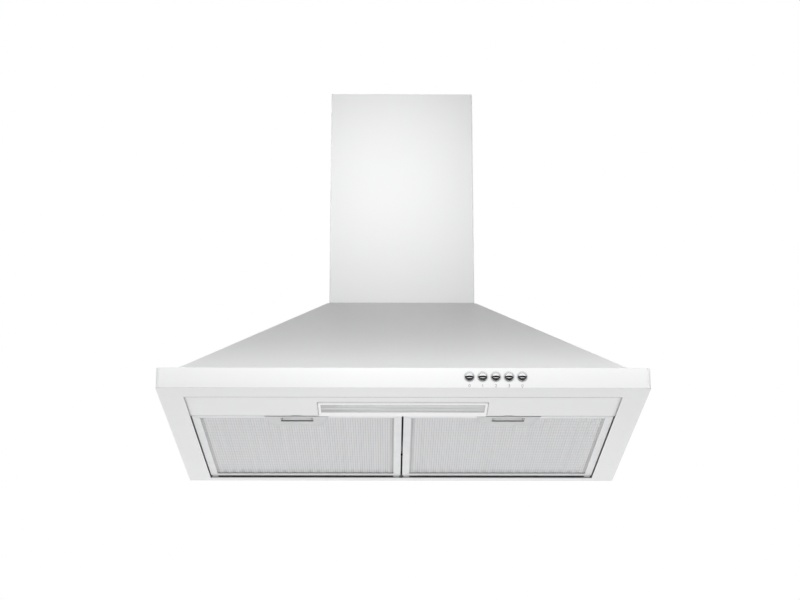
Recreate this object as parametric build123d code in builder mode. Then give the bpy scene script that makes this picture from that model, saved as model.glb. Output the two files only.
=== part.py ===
from build123d import *
from math import cos, degrees, pi, radians, sin, sqrt, tan
import os

# Wall-mounted chimney range hood, in millimetres.
# X runs from left to right, Y from the front (negative) to the wall (zero), Z up from the rim.
# The origin is the middle of the back face, at the height of the rim.

os.makedirs("parts", exist_ok=True)

# Driving dimensions: the outer body
hood_width = 600
hood_depth = 480
band_height = 25.3
band_corner = 5
sheet = 1.0
front_flange = 42
side_flange = 30.3
rear_flange = 16
canopy_inset = 16
canopy_top = 209
canopy_top_width = 204.5
canopy_top_depth = 172.2
chimney_width = 200
chimney_depth = 170
chimney_top = 523

# Driving dimensions: blower, duct and their sheet
blower_y = -120
blower_z = 118
wheel_radius = 68
wheel_half_length = 52
blade_count = 36
casing_half_width = 62
casing_sheet = 1.2
duct_radius = 60
duct_y = -80

# Driving dimensions: underside
panel_bottom = 3
panel_depth = 99
filter_gap = 2.5
filter_height = 8
filter_border = 10
latch_travel = 4

# Driving dimensions: buttons
button_pitch = 16
button_middle = 112
button_height = 14
button_travel = 3
button_names = ["button_off", "button_speed_1", "button_speed_2", "button_speed_3", "button_light"]

half_width = hood_width / 2


def rect_between(x0, x1, y0, y1, mode=Mode.ADD):
    """Rectangle of a sketch, given by its sides."""
    with Locations(((x0 + x1) / 2, (y0 + y1) / 2)):
        Rectangle(x1 - x0, y1 - y0, mode=mode)


def block_between(x0, x1, y0, y1, z0, z1, mode=Mode.ADD):
    """Straight tab, foot or cut of a part, given by its faces."""
    with Locations(((x0 + x1) / 2, (y0 + y1) / 2, (z0 + z1) / 2)):
        Box(x1 - x0, y1 - y0, z1 - z0, mode=mode)


# ---------------------------------------------------------------- base frame
# Folded band with inturned rim below and a ledge above that carries the canopy.
opening_half_width = half_width - side_flange
opening_front = front_flange - hood_depth
opening_rear = -rear_flange
foot_half_width = half_width - canopy_inset
foot_front = canopy_inset - hood_depth
ledge_lap = 4
button_xs = [button_middle + (i - 2) * button_pitch for i in range(5)]
button_hole_radius = 5

with BuildPart() as base_frame:
    with BuildSketch() as band_outline:
        rect_between(-half_width, half_width, -hood_depth, 0)
        fillet(band_outline.vertices().group_by(Axis.Y)[0], band_corner)
    extrude(amount=band_height)
    with BuildSketch(Plane.XY.offset(sheet)):
        add(band_outline.sketch_local)
        offset(amount=-sheet)
    extrude(amount=band_height - 2 * sheet, mode=Mode.SUBTRACT)
    with BuildSketch():
        rect_between(-opening_half_width, opening_half_width, opening_front, opening_rear)
    extrude(amount=sheet, mode=Mode.SUBTRACT)
    with BuildSketch(Plane.XY.offset(band_height)):
        ledge_half_width = foot_half_width - ledge_lap
        rect_between(-ledge_half_width, ledge_half_width, foot_front + ledge_lap, -sheet)
    extrude(amount=-sheet, mode=Mode.SUBTRACT)
    with BuildSketch(Plane.XZ.offset(hood_depth)):
        with Locations(*[(x, button_height) for x in button_xs]):
            Circle(button_hole_radius)
    extrude(amount=-sheet, mode=Mode.SUBTRACT)
base_frame.part.label = "base_frame"
export_step(base_frame.part, "parts/base_frame.step")

# ------------------------------------------------------------- canopy shell
# Four-sided hollow pyramid, open to the wall, with a flange round the blower outlet.
top_half_width = canopy_top_width / 2
top_front = -canopy_top_depth
canopy_rise = canopy_top - band_height
side_run = (foot_half_width - top_half_width) / canopy_rise
front_run = (top_front - foot_front) / canopy_rise
side_wall = sheet * sqrt(1 + side_run**2)
front_wall = sheet * sqrt(1 + front_run**2)
outlet_half_width = 66
outlet_front = -146
outlet_rear = -14
gland_x = 82
gland_y = -40
gland_hole_radius = 8


def canopy_half_width(z):
    """Half width of the canopy's outside at height z."""
    return foot_half_width - side_run * (z - band_height)


def canopy_front(z):
    """Y of the canopy's outside front at height z."""
    return foot_front + front_run * (z - band_height)


with BuildPart() as canopy_shell:
    for height in (band_height, canopy_top):
        with BuildSketch(Plane.XY.offset(height)):
            side = canopy_half_width(height)
            rect_between(-side, side, canopy_front(height), 0)
    loft()
    for height in (band_height, canopy_top - sheet):
        with BuildSketch(Plane.XY.offset(height)):
            side = canopy_half_width(height) - side_wall
            rect_between(-side, side, canopy_front(height) + front_wall, sheet)
    loft(mode=Mode.SUBTRACT)
    with BuildSketch(Plane.XY.offset(canopy_top)):
        rect_between(-outlet_half_width, outlet_half_width, outlet_front, outlet_rear)
        with Locations((gland_x, gland_y)):
            Circle(gland_hole_radius)
    extrude(amount=-sheet, mode=Mode.SUBTRACT)
canopy_shell.part.label = "canopy_shell"
export_step(canopy_shell.part, "parts/canopy_shell.step")

# --------------------------------------------------------------- back panel
# Wall plate inside the canopy's side walls, with hanging slots and two fixing holes below.
panel_gap = 0.2
hang_x = 110
hang_z = 165
hang_slot_length = 20
hang_slot_width = 8
fixing_x = 230
fixing_z = 50
fixing_radius = 3
joggle_top = band_height + 4

with BuildPart() as back_panel:
    with BuildSketch(Plane.XZ):
        low = band_height + panel_gap
        high = canopy_top - sheet - panel_gap
        low_side = canopy_half_width(low) - side_wall - panel_gap
        high_side = canopy_half_width(high) - side_wall - panel_gap
        with BuildLine():
            Polyline((-low_side, low), (low_side, low), (high_side, high), (-high_side, high), close=True)
        make_face()
    extrude(amount=sheet)
    with BuildSketch(Plane.XZ.offset(sheet)):
        rect_between(10 - foot_half_width, foot_half_width - 10, 6, joggle_top)
    extrude(amount=sheet)
    with BuildSketch(Plane.XZ):
        with Locations((-hang_x, hang_z), (hang_x, hang_z)):
            SlotOverall(hang_slot_length, hang_slot_width)
        with Locations((-fixing_x, fixing_z), (fixing_x, fixing_z)):
            Circle(fixing_radius)
    extrude(amount=sheet, mode=Mode.SUBTRACT)
back_panel.part.label = "back_panel"
export_step(back_panel.part, "parts/back_panel.step")

# -------------------------------------------------------------- chimney
# Two bent channels, open to the wall: the lower cover, and an upper one that slides inside it.
chimney_half_width = chimney_width / 2
bend_radius = 2
rear_return = 15
cover_hem = 9
slide_gap = 0.7
clip_top = 230
clip_thickness = 2
extension_top = 521
louvre_length = 70
louvre_height = 4


def channel_section(section, side, front, rear, radius, lip):
    """Bent sheet seen from above: a front, two sides and two rear lips."""
    rect_between(-side, side, front, rear)
    fillet(section.vertices().group_by(Axis.Y)[0], radius)
    offset(amount=-sheet, kind=Kind.INTERSECTION, mode=Mode.SUBTRACT)
    rect_between(lip - side, side - lip, rear - sheet, rear, mode=Mode.SUBTRACT)


with BuildPart() as chimney_cover:
    with BuildSketch(Plane.XY.offset(canopy_top)) as cover_section:
        channel_section(cover_section, chimney_half_width, -chimney_depth, 0, bend_radius, rear_return)
    extrude(amount=chimney_top - canopy_top)
    hem_half_width = chimney_half_width - bend_radius
    hem_front = -chimney_depth + sheet / 2
    hem_rear = hem_front + cover_hem
    block_between(-hem_half_width, hem_half_width, hem_front, hem_rear, canopy_top, canopy_top + sheet)
    with BuildSketch(Plane.YZ):
        with Locations((-chimney_depth / 2, canopy_top + 12)):
            Circle(2.2)
    extrude(amount=chimney_half_width, both=True, mode=Mode.SUBTRACT)
chimney_cover.part.label = "chimney_cover"
export_step(chimney_cover.part, "parts/chimney_cover.step")

with BuildPart() as chimney_clips:
    for side in (-1, 1):
        outer = side * (chimney_half_width - sheet)
        inner = outer - side * clip_thickness
        foot = outer - side * 16
        clip_y = -chimney_depth / 2
        foot_top = canopy_top + 1.5
        block_between(min(outer, inner), max(outer, inner), clip_y - 18, clip_y + 18, canopy_top, clip_top)
        block_between(min(outer, foot), max(outer, foot), clip_y - 18, clip_y + 18, canopy_top, foot_top)
    with BuildSketch(Plane.YZ):
        with Locations((clip_y, canopy_top + 12)):
            Circle(1.8)
    extrude(amount=chimney_half_width, both=True, mode=Mode.SUBTRACT)
chimney_clips.part.label = "chimney_clips"
export_step(chimney_clips.part, "parts/chimney_clips.step")

with BuildPart() as chimney_extension:
    with BuildSketch(Plane.XY.offset(clip_top + 0.1)) as extension_section:
        inset = sheet + slide_gap
        side = chimney_half_width - inset
        channel_section(extension_section, side, inset - chimney_depth, -inset, bend_radius, rear_return)
    extrude(amount=extension_top - clip_top - 0.1)
    with BuildSketch(Plane.YZ):
        with Locations((-chimney_depth / 2, extension_top - 40)):
            with GridLocations(0, 10, 1, 6):
                SlotOverall(louvre_length, louvre_height)
    extrude(amount=chimney_half_width, both=True, mode=Mode.SUBTRACT)
chimney_extension.part.label = "chimney_extension"
export_step(chimney_extension.part, "parts/chimney_extension.step")

# ------------------------------------------------------------ lamp panel
# Folded panel between the front rim and the filters, with the opening for the lamp cover.
panel_rear = opening_front + panel_depth - 0.6
panel_half_width = half_width - 16
panel_front = opening_front + 1.3
panel_fold_half_width = opening_half_width - 1.3
panel_lip_top = 34
lip_half_width = half_width - 32
cover_half_width = 106
cover_front = -402.5
cover_rear = -342.9
cover_bottom = 1.4
cover_thickness = 1.5
hinge_y = cover_front + 1.5
hinge_z = 4.6
hinge_pin_radius = 1.0
hinge_hole_radius = 1.05
latch_x = (filter_gap / 2 + opening_half_width - 1) / 2
tongue_half_width = 4.5
tongue_reach = 2.6
notch_half_width = tongue_half_width + 1.2

with BuildPart() as lamp_panel:
    block_between(
        -panel_half_width, panel_half_width, panel_front, panel_rear, panel_bottom, panel_bottom + sheet
    )
    fold_rear = panel_front + sheet
    block_between(
        -panel_fold_half_width, panel_fold_half_width, panel_front, fold_rear, 0.1, panel_bottom + sheet / 2
    )
    block_between(
        -lip_half_width, lip_half_width, panel_rear - sheet, panel_rear, panel_bottom, panel_lip_top
    )
    for side in (-1, 1):
        edge = side * panel_half_width
        inner = edge - side * sheet
        block_between(min(edge, inner), max(edge, inner), panel_front, panel_rear, sheet, panel_lip_top / 2)
    with BuildSketch(Plane.XY.offset(panel_bottom)):
        rect_between(-104.8, 104.8, cover_front, cover_rear - 1.6)
        rect_between(-106.4, 106.4, cover_front - 2.4, cover_front + 6)
    extrude(amount=sheet, mode=Mode.SUBTRACT)
    for side in (-1, 1):
        block_between(
            side * 107.2 - 0.6, side * 107.2 + 0.6, hinge_y - 3, hinge_y + 3, panel_bottom, hinge_z + 2.6
        )
        block_between(
            side * latch_x - notch_half_width,
            side * latch_x + notch_half_width,
            panel_rear - 2.4,
            panel_rear,
            panel_bottom,
            panel_bottom + 3.6,
            mode=Mode.SUBTRACT,
        )
    with BuildSketch(Plane.YZ):
        with Locations((hinge_y, hinge_z)):
            Circle(hinge_hole_radius)
    extrude(amount=110, both=True, mode=Mode.SUBTRACT)
lamp_panel.part.label = "lamp_panel"
export_step(lamp_panel.part, "parts/lamp_panel.step")

# ------------------------------------------------------------ lamp cover
# Hinged frame with a clear lens, and the folded reflector, holder, lamp and clip above it.
window_half_width = 103
window_front = -397.5
window_rear = -361
cover_top = cover_bottom + cover_thickness
cover_roll_radius = 3.6

with BuildPart() as lamp_cover:
    with BuildSketch(Plane.XY.offset(cover_bottom)):
        rect_between(-cover_half_width, cover_half_width, cover_front, cover_rear)
        rect_between(
            -window_half_width, window_half_width, window_front, window_rear, mode=Mode.SUBTRACT
        )
    extrude(amount=cover_thickness)
    outer_edges = lamp_cover.edges().filter_by(Axis.Z)
    fillet(outer_edges.group_by(Axis.Y)[0] + outer_edges.group_by(Axis.Y)[-1], 1.2)
    for side in (-1, 1):
        block_between(
            side * 104.6 - 1, side * 104.6 + 1, cover_front + 0.3, hinge_y + 2, cover_top, hinge_z + 1.4
        )
        with BuildSketch(Plane.YZ.offset(side * 105.6)):
            with Locations((hinge_y, hinge_z)):
                Circle(hinge_pin_radius)
        extrude(amount=side * 2.6)
    block_between(-12, 12, cover_rear - 3.8, cover_rear - 2.8, cover_top, cover_top + 5)
    with BuildSketch(Plane.YZ.offset(-105.4)):
        with Locations((hinge_y, hinge_z)):
            Circle(cover_roll_radius)
            Circle(cover_roll_radius - 1, mode=Mode.SUBTRACT)
        rect_between(hinge_y - 10, hinge_y + 10, hinge_z, hinge_z + 10, mode=Mode.SUBTRACT)
        rect_between(cover_front + 1, hinge_y + 10, hinge_z - 10, hinge_z, mode=Mode.SUBTRACT)
        rect_between(hinge_y - 10, hinge_y + 10, hinge_z - 10, cover_bottom, mode=Mode.SUBTRACT)
    extrude(amount=210.8)
lamp_cover.part.label = "lamp_cover"
export_step(lamp_cover.part, "parts/lamp_cover.step")

lens_gap = 0.2
with BuildPart() as lamp_lens:
    block_between(
        lens_gap - window_half_width,
        window_half_width - lens_gap,
        window_front + lens_gap,
        window_rear - lens_gap,
        cover_bottom + 0.2,
        cover_top,
    )
    block_between(-103.6, 103.6, window_front - 0.4, window_rear + 6, cover_top, cover_top + 1.2)
    with BuildSketch(Plane.XY.offset(cover_top + 1.2)):
        with Locations((0, (window_front + window_rear) / 2)):
            with GridLocations(0, 4, 1, 9):
                Rectangle(204, 1.6)
    extrude(amount=0.5, taper=20)
lamp_lens.part.label = "lamp_lens"
export_step(lamp_lens.part, "parts/lamp_lens.step")

tray_sheet = 0.8
tray_low = panel_bottom + sheet
tray_high = 38
tray_front = -406.3
tray_rear = -344.7
lamp_y = (window_front + window_rear) / 2
lamp_z = 18
lead_hole_radius = 3

with BuildPart() as lamp_tray:
    with BuildSketch(Plane.XY.offset(tray_low)):
        rect_between(-110.5, 110.5, tray_front - tray_sheet, tray_rear + tray_sheet)
    with BuildSketch(Plane.XY.offset(tray_high)):
        rect_between(-105, 105, tray_front + 12, tray_rear + tray_sheet)
    loft()
    with BuildSketch(Plane.XY.offset(tray_low)):
        rect_between(-109.5, 109.5, tray_front, tray_rear)
    with BuildSketch(Plane.XY.offset(tray_high - tray_sheet)):
        rect_between(-104.1, 104.1, tray_front + 12.6, tray_rear)
    loft(mode=Mode.SUBTRACT)
    with BuildSketch(Plane.XY.offset(tray_low)):
        rect_between(-120, 120, tray_front - 10, tray_rear + tray_sheet)
        rect_between(-109.5, 109.5, tray_front, tray_rear, mode=Mode.SUBTRACT)
    extrude(amount=tray_sheet)
    with BuildSketch(Plane.YZ.offset(-104)):
        with Locations((lamp_y, lamp_z + 2)):
            Circle(lead_hole_radius)
    extrude(amount=-10, mode=Mode.SUBTRACT)
lamp_tray.part.label = "lamp_tray"
export_step(lamp_tray.part, "parts/lamp_tray.step")

tube_radius = 6
tube_pitch = 15
tube_end = 80
base_face = -75

with BuildPart() as lamp_tube:
    for offset_y in (-tube_pitch / 2, tube_pitch / 2):
        with BuildSketch(Plane.YZ.offset(base_face)):
            with Locations((lamp_y + offset_y, lamp_z)):
                Circle(tube_radius)
        extrude(amount=tube_end - base_face)
    tube_ends = lamp_tube.faces().sort_by(Axis.X)[-2:]
    fillet(tube_ends.edges(), tube_radius - 0.6)
    with BuildSketch(Plane.XZ.offset(-lamp_y)):
        with Locations((tube_end - 9, lamp_z)):
            Circle(2.6)
    extrude(amount=tube_pitch / 2, both=True)
lamp_tube.part.label = "lamp_tube"
export_step(lamp_tube.part, "parts/lamp_tube.step")

with BuildPart() as lamp_base:
    with BuildSketch(Plane.YZ.offset(base_face)):
        with Locations((lamp_y, lamp_z)):
            RectangleRounded(32, 17, 3)
    extrude(amount=-7)
    with BuildSketch(Plane.YZ.offset(base_face - 7)):
        with Locations((lamp_y, lamp_z)):
            RectangleRounded(27, 14, 2)
    extrude(amount=-13)
lamp_base.part.label = "lamp_base"
export_step(lamp_base.part, "parts/lamp_base.step")

with BuildPart() as lamp_holder:
    holder_face = base_face - 7.2
    with BuildSketch(Plane.YZ.offset(holder_face)):
        with Locations((lamp_y, lamp_z + 1)):
            RectangleRounded(34, 22, 3)
        with Locations((lamp_y, lamp_z)):
            RectangleRounded(27.4, 14.4, 2, mode=Mode.SUBTRACT)
    extrude(amount=-13)
    block_between(-99, holder_face - 13, lamp_y - 17, lamp_y + 17, lamp_z - 10, lamp_z + 12)
    block_between(-99, holder_face, lamp_y - 12, lamp_y + 12, lamp_z + 11, tray_high - tray_sheet)
lamp_holder.part.label = "lamp_holder"
export_step(lamp_holder.part, "parts/lamp_holder.step")

with BuildPart() as lamp_clip:
    with BuildSketch(Plane.YZ.offset(48)):
        with Locations((lamp_y, lamp_z)):
            SlotCenterToCenter(tube_pitch, 2 * (tube_radius + 1.0))
            SlotCenterToCenter(tube_pitch, 2 * (tube_radius + 0.2), mode=Mode.SUBTRACT)
            rect_between(-6, 6, -9, 0, mode=Mode.SUBTRACT)
        rect_between(lamp_y - 3, lamp_y + 3, lamp_z + tube_radius + 0.2, tray_high - tray_sheet)
    extrude(amount=6)
lamp_clip.part.label = "lamp_clip"
export_step(lamp_clip.part, "parts/lamp_clip.step")

# --------------------------------------------------------------- controls
# Five domed push buttons in bright bezels, guided by one switch block behind the band.
band_front = -hood_depth
cap_radius = 4.2
stem_radius = 3.0
cap_rear = band_front + 3
block_front = band_front + sheet + 0.1
block_rear = block_front + 24

with BuildPart() as switch_block:
    block_between(
        button_xs[0] - 9, button_xs[-1] + 9, block_front, block_rear, button_height - 9, button_height + 8
    )
    fillet(switch_block.edges().filter_by(Axis.Y), 2)
    with BuildSketch(Plane.XZ.offset(-block_front)):
        with Locations(*[(x, button_height) for x in button_xs]):
            Circle(cap_radius + 0.4)
    extrude(amount=block_front - cap_rear - button_travel - 0.5, mode=Mode.SUBTRACT)
    with BuildSketch(Plane.XZ.offset(-block_front)):
        with Locations(*[(x, button_height) for x in button_xs]):
            Circle(stem_radius + 0.05)
    extrude(amount=block_front - block_rear + 2, mode=Mode.SUBTRACT)
    with BuildSketch(Plane.XZ.offset(-block_rear)):
        with Locations(*[(x + 1.8 * s, button_height) for x in button_xs for s in (-1, 1)]):
            Rectangle(0.8, 5)
    extrude(amount=-6)
switch_block.part.label = "switch_block"
export_step(switch_block.part, "parts/switch_block.step")

with BuildPart() as button_bezels:
    with BuildSketch(Plane.XZ.offset(-band_front)):
        with Locations(*[(x, button_height) for x in button_xs]):
            Circle(5.6)
            Circle(cap_radius + 0.15, mode=Mode.SUBTRACT)
    extrude(amount=1.5)
    front_rims = button_bezels.edges().filter_by(GeomType.CIRCLE).group_by(Axis.Y)[0]
    fillet(front_rims.group_by(SortBy.RADIUS)[-1], 1.0)
    with BuildSketch(Plane.XZ.offset(-band_front)):
        with Locations(*[(x, button_height) for x in button_xs]):
            Circle(button_hole_radius - 0.05)
            Circle(cap_radius + 0.15, mode=Mode.SUBTRACT)
    extrude(amount=-sheet)
button_bezels.part.label = "button_bezels"
export_step(button_bezels.part, "parts/button_bezels.step")


def push_button(x, name):
    """Domed cap on a round stem, turned about the line that it travels along."""
    dome_front = band_front - 3.6
    dome_edge = band_front - 1.9
    with BuildPart() as button:
        with BuildSketch(Plane.XY.offset(button_height)):
            with BuildLine():
                cap_edge = (x + cap_radius, dome_edge)
                crown = ThreePointArc((x, dome_front), (x + 2.3, dome_front + 0.42), cap_edge)
                Polyline(
                    crown @ 1,
                    (x + cap_radius, cap_rear),
                    (x + stem_radius, cap_rear),
                    (x + stem_radius, block_rear - 2 - button_travel - 0.5),
                    (x, block_rear - 2 - button_travel - 0.5),
                    (x, dome_front),
                )
            make_face()
        revolve(axis=Axis((x, 0, button_height), (0, 1, 0)))
    button.part.label = name
    export_step(button.part, f"parts/{name}.step")


for button_x, button_name in zip(button_xs, button_names):
    push_button(button_x, button_name)

# --------------------------------------------------------- filter hanging
# A rod on lugs behind the rear rim carries the hooks of both filters.
rod_y = -14.5
rod_z = 4
rod_radius = 1.5
rod_half_length = 274
lug_xs = [-270.8, 0, 270.8]

with BuildPart() as rear_rail:
    block_between(-rod_half_length, rod_half_length, -11, -2.1, sheet, 2 * sheet)
    block_between(-rod_half_length, rod_half_length, -3.1, -2.1, sheet, 24)
    for x in lug_xs:
        half_lug = 0.9 if x == 0 else 1.6
        with BuildSketch(Plane.YZ.offset(x - half_lug)):
            with BuildLine():
                Polyline(
                    (-11, sheet),
                    (-2.1, sheet),
                    (-2.1, 20),
                    (rod_y, rod_z + 3.2),
                    (rod_y - 2.9, rod_z + 1.4),
                    (rod_y - 2.9, sheet),
                    close=True,
                )
            make_face()
            with Locations((rod_y, rod_z)):
                Circle(rod_radius, mode=Mode.SUBTRACT)
        extrude(amount=2 * half_lug)
rear_rail.part.label = "rear_rail"
export_step(rear_rail.part, "parts/rear_rail.step")

with BuildPart() as filter_rod:
    with BuildSketch(Plane.YZ.offset(-rod_half_length)):
        with Locations((rod_y, rod_z)):
            Circle(rod_radius)
    extrude(amount=2 * rod_half_length)
filter_rod.part.label = "filter_rod"
export_step(filter_rod.part, "parts/filter_rod.step")

# ---------------------------------------------------------- grease filters
# Each filter is a mitred channel frame round a mesh face and a pleated mesh core.
filter_half_width = (opening_half_width - 1 - filter_gap / 2) / 2
filter_front = panel_rear + 1.2
filter_rear = rod_y - 4.5
filter_middle_y = (filter_front + filter_rear) / 2
frame_sheet = 0.8
hook_x = 128
hook_half_width = 4.2
pleat_count = 22
latch_half_width = 29.5
latch_length = 44
cut_half_width = latch_half_width + 0.7
cut_rear = filter_front + latch_length - 0.8


def filter_frame(centre, name):
    plane = Plane((centre, 0, panel_bottom))
    with BuildPart() as frame:
        with BuildSketch(plane):
            rect_between(-filter_half_width, filter_half_width, filter_front, filter_rear)
        extrude(amount=filter_height)
        fillet(frame.edges().filter_by(Axis.Z), 2)
        with BuildSketch(plane.offset(frame_sheet)):
            rect_between(
                frame_sheet - filter_half_width,
                filter_half_width - frame_sheet,
                filter_front + frame_sheet,
                filter_rear - frame_sheet,
            )
        extrude(amount=filter_height - 2 * frame_sheet, mode=Mode.SUBTRACT)
        with BuildSketch(plane):
            rect_between(
                filter_border - filter_half_width,
                filter_half_width - filter_border,
                filter_front + filter_border,
                filter_rear - filter_border,
            )
            rect_between(-slot_half_width, slot_half_width, slot_front, slot_rear)
        extrude(amount=frame_sheet, mode=Mode.SUBTRACT)
        with BuildSketch(plane.offset(filter_height)):
            rect_between(
                filter_border - filter_half_width,
                filter_half_width - filter_border,
                filter_front + filter_border,
                filter_rear - filter_border,
            )
        extrude(amount=-frame_sheet, mode=Mode.SUBTRACT)
        mitre_x = filter_half_width - filter_border / 2
        with BuildSketch(plane):
            for sx in (-1, 1):
                for y, sy in ((filter_front + filter_border / 2, 1), (filter_rear - filter_border / 2, -1)):
                    with Locations((sx * mitre_x, y)):
                        Rectangle(filter_border * 1.4, 0.5, rotation=-45 * sx * sy)
        extrude(amount=0.3, mode=Mode.SUBTRACT)
        with Locations((centre, filter_front, panel_bottom + 1.5)):
            Box(2 * tongue_half_width + 1, 4, 1.3, mode=Mode.SUBTRACT)
        for side in (-1, 1):
            with BuildSketch(Plane.YZ.offset(centre + side * hook_x - hook_half_width)):
                with Locations((rod_y, rod_z)):
                    Circle(rod_radius + 1.2)
                rect_between(filter_rear - frame_sheet, rod_y, rod_z - 0.6, rod_z + 0.6)
                with Locations((rod_y, rod_z)):
                    Circle(rod_radius + 0.05, mode=Mode.SUBTRACT)
                with BuildLine():
                    Polyline(
                        (rod_y, rod_z),
                        (rod_y + 6 * cos(radians(40)), rod_z + 6 * sin(radians(40))),
                        (rod_y + 6 * cos(radians(90)), rod_z + 8),
                        (rod_y + 6 * cos(radians(140)), rod_z + 6 * sin(radians(140))),
                        close=True,
                    )
                make_face(mode=Mode.SUBTRACT)
            extrude(amount=2 * hook_half_width)
    frame.part.label = name
    export_step(frame.part, f"parts/{name}.step")


def filter_mesh(centre, name):
    plane = Plane((centre, 0, panel_bottom + frame_sheet))
    edge_gap = frame_sheet + 0.2
    with BuildPart() as mesh:
        with BuildSketch(plane):
            rect_between(
                edge_gap - filter_half_width,
                filter_half_width - edge_gap,
                filter_front + edge_gap,
                filter_rear - edge_gap,
            )
            rect_between(
                -cut_half_width, cut_half_width, filter_front, cut_rear, mode=Mode.SUBTRACT
            )
        extrude(amount=0.6)
    mesh.part.label = name
    export_step(mesh.part, f"parts/{name}.step")


def filter_core(centre, name):
    """Zigzag of layered mesh whose folds run from front to rear."""
    fold_half_width = filter_half_width - 3
    pitch = 2 * fold_half_width / pleat_count
    low = panel_bottom + frame_sheet + 0.7
    high = panel_bottom + filter_height - frame_sheet - 0.3
    thickness = 1.0
    lower_line = []
    for i in range(2 * pleat_count + 1):
        top = i % 2 == 1
        lower_line.append((centre - fold_half_width + i * pitch / 2, high - thickness if top else low))
    upper_line = [(x, z + thickness) for x, z in reversed(lower_line)]
    with BuildPart() as core:
        with BuildSketch(Plane.XZ.offset(-filter_front - 3)):
            with BuildLine():
                Polyline(*lower_line, *upper_line, close=True)
            make_face()
        extrude(amount=filter_front - filter_rear + 6)
        block_between(
            centre - cut_half_width,
            centre + cut_half_width,
            filter_front,
            cut_rear,
            panel_bottom,
            panel_bottom + filter_height,
            mode=Mode.SUBTRACT,
        )
    core.part.label = name
    export_step(core.part, f"parts/{name}.step")


# Latch: a plate with a finger slot, a slider with a finger cup and a tongue, and its bow spring.
plate_bottom = panel_bottom - 0.8
slot_half_width = 20.75
slot_front = filter_front + 5.5
slot_rear = slot_front + 19
plate_rear = filter_front + latch_length
slider_front = filter_front + 2.2
slider_rear = filter_front + 35.4
slider_bottom = panel_bottom + 1
housing_rear = filter_front + 42.4
housing_top = panel_bottom + 7


def latch_plate(centre, name):
    with BuildPart() as plate:
        with BuildSketch(Plane((centre, 0, plate_bottom))):
            with BuildLine():
                Polyline(
                    (-41, filter_front), (41, filter_front), (31, plate_rear), (-31, plate_rear), close=True
                )
            make_face()
            with Locations((0, (slot_front + slot_rear) / 2)):
                RectangleRounded(2 * slot_half_width, slot_rear - slot_front, 2, mode=Mode.SUBTRACT)
        extrude(amount=panel_bottom - plate_bottom)
    plate.part.label = name
    export_step(plate.part, f"parts/{name}.step")


def latch_housing(centre, name):
    wall = 1.0
    front = filter_front + 1
    with BuildPart() as housing:
        block_between(
            centre - latch_half_width,
            centre + latch_half_width,
            front,
            housing_rear,
            panel_bottom + frame_sheet,
            housing_top,
        )
        fillet(housing.edges().filter_by(Axis.Z), 1)
        block_between(
            centre - latch_half_width + wall,
            centre + latch_half_width - wall,
            front + wall,
            housing_rear - wall,
            panel_bottom + frame_sheet,
            housing_top - wall,
            mode=Mode.SUBTRACT,
        )
        block_between(
            centre - tongue_half_width - 0.5,
            centre + tongue_half_width + 0.5,
            front,
            front + wall,
            panel_bottom + frame_sheet,
            slider_bottom + 1.2,
            mode=Mode.SUBTRACT,
        )
        for side in (-1, 1):
            block_between(
                centre + side * (latch_half_width - 3) - 3,
                centre + side * (latch_half_width - 3) + 3,
                filter_front + 11,
                housing_rear,
                panel_bottom,
                panel_bottom + frame_sheet,
            )
    housing.part.label = name
    export_step(housing.part, f"parts/{name}.step")


def latch_slider(centre, name):
    plane = Plane((centre, 0, slider_bottom))
    cup_front = slot_front + 0.5
    cup_rear = slot_rear - latch_travel - 0.4
    with BuildPart() as slider:
        with BuildSketch(plane):
            rect_between(1.2 - latch_half_width, latch_half_width - 1.2, slider_front, slider_rear)
            rect_between(-tongue_half_width, tongue_half_width, filter_front - tongue_reach, slider_front)
        extrude(amount=1)
        with BuildSketch(Plane((centre, 0, plate_bottom + 1))):
            rect_between(-20.2, 20.2, cup_front, cup_rear)
        extrude(amount=housing_top - 1.6 - plate_bottom - 1)
        with BuildSketch(Plane((centre, 0, plate_bottom + 1))):
            rect_between(-19.4, 19.4, cup_front + 0.8, cup_rear - 0.8)
        extrude(amount=housing_top - 2.4 - plate_bottom - 1, mode=Mode.SUBTRACT)
        tongue_tip = slider.edges().filter_by(Axis.Z).group_by(Axis.Y)[0]
        chamfer(tongue_tip, 1.2)
    slider.part.label = name
    export_step(slider.part, f"parts/{name}.step")


def latch_spring(centre, name):
    """Bow of flat spring steel between the slider and the end of its housing."""
    end_y = housing_rear - 1.3
    middle_y = slider_rear + 0.1
    strip = 0.4
    with BuildPart() as spring:
        with BuildSketch(Plane((centre, 0, slider_bottom + 0.1))):
            with BuildLine():
                front_arc = ThreePointArc((-18, end_y - strip), (0, middle_y), (18, end_y - strip))
                rear_arc = ThreePointArc((18, end_y), (0, middle_y + strip), (-18, end_y))
                Line(front_arc @ 1, rear_arc @ 0)
                Line(rear_arc @ 1, front_arc @ 0)
            make_face()
        extrude(amount=3)
    spring.part.label = name
    export_step(spring.part, f"parts/{name}.step")


for side, side_name in ((-1, "left"), (1, "right")):
    filter_frame(side * latch_x, f"filter_frame_{side_name}")
    filter_mesh(side * latch_x, f"filter_mesh_{side_name}")
    filter_core(side * latch_x, f"filter_core_{side_name}")
    latch_plate(side * latch_x, f"latch_plate_{side_name}")
    latch_housing(side * latch_x, f"latch_housing_{side_name}")
    latch_slider(side * latch_x, f"latch_slider_{side_name}")
    latch_spring(side * latch_x, f"latch_spring_{side_name}")

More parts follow.
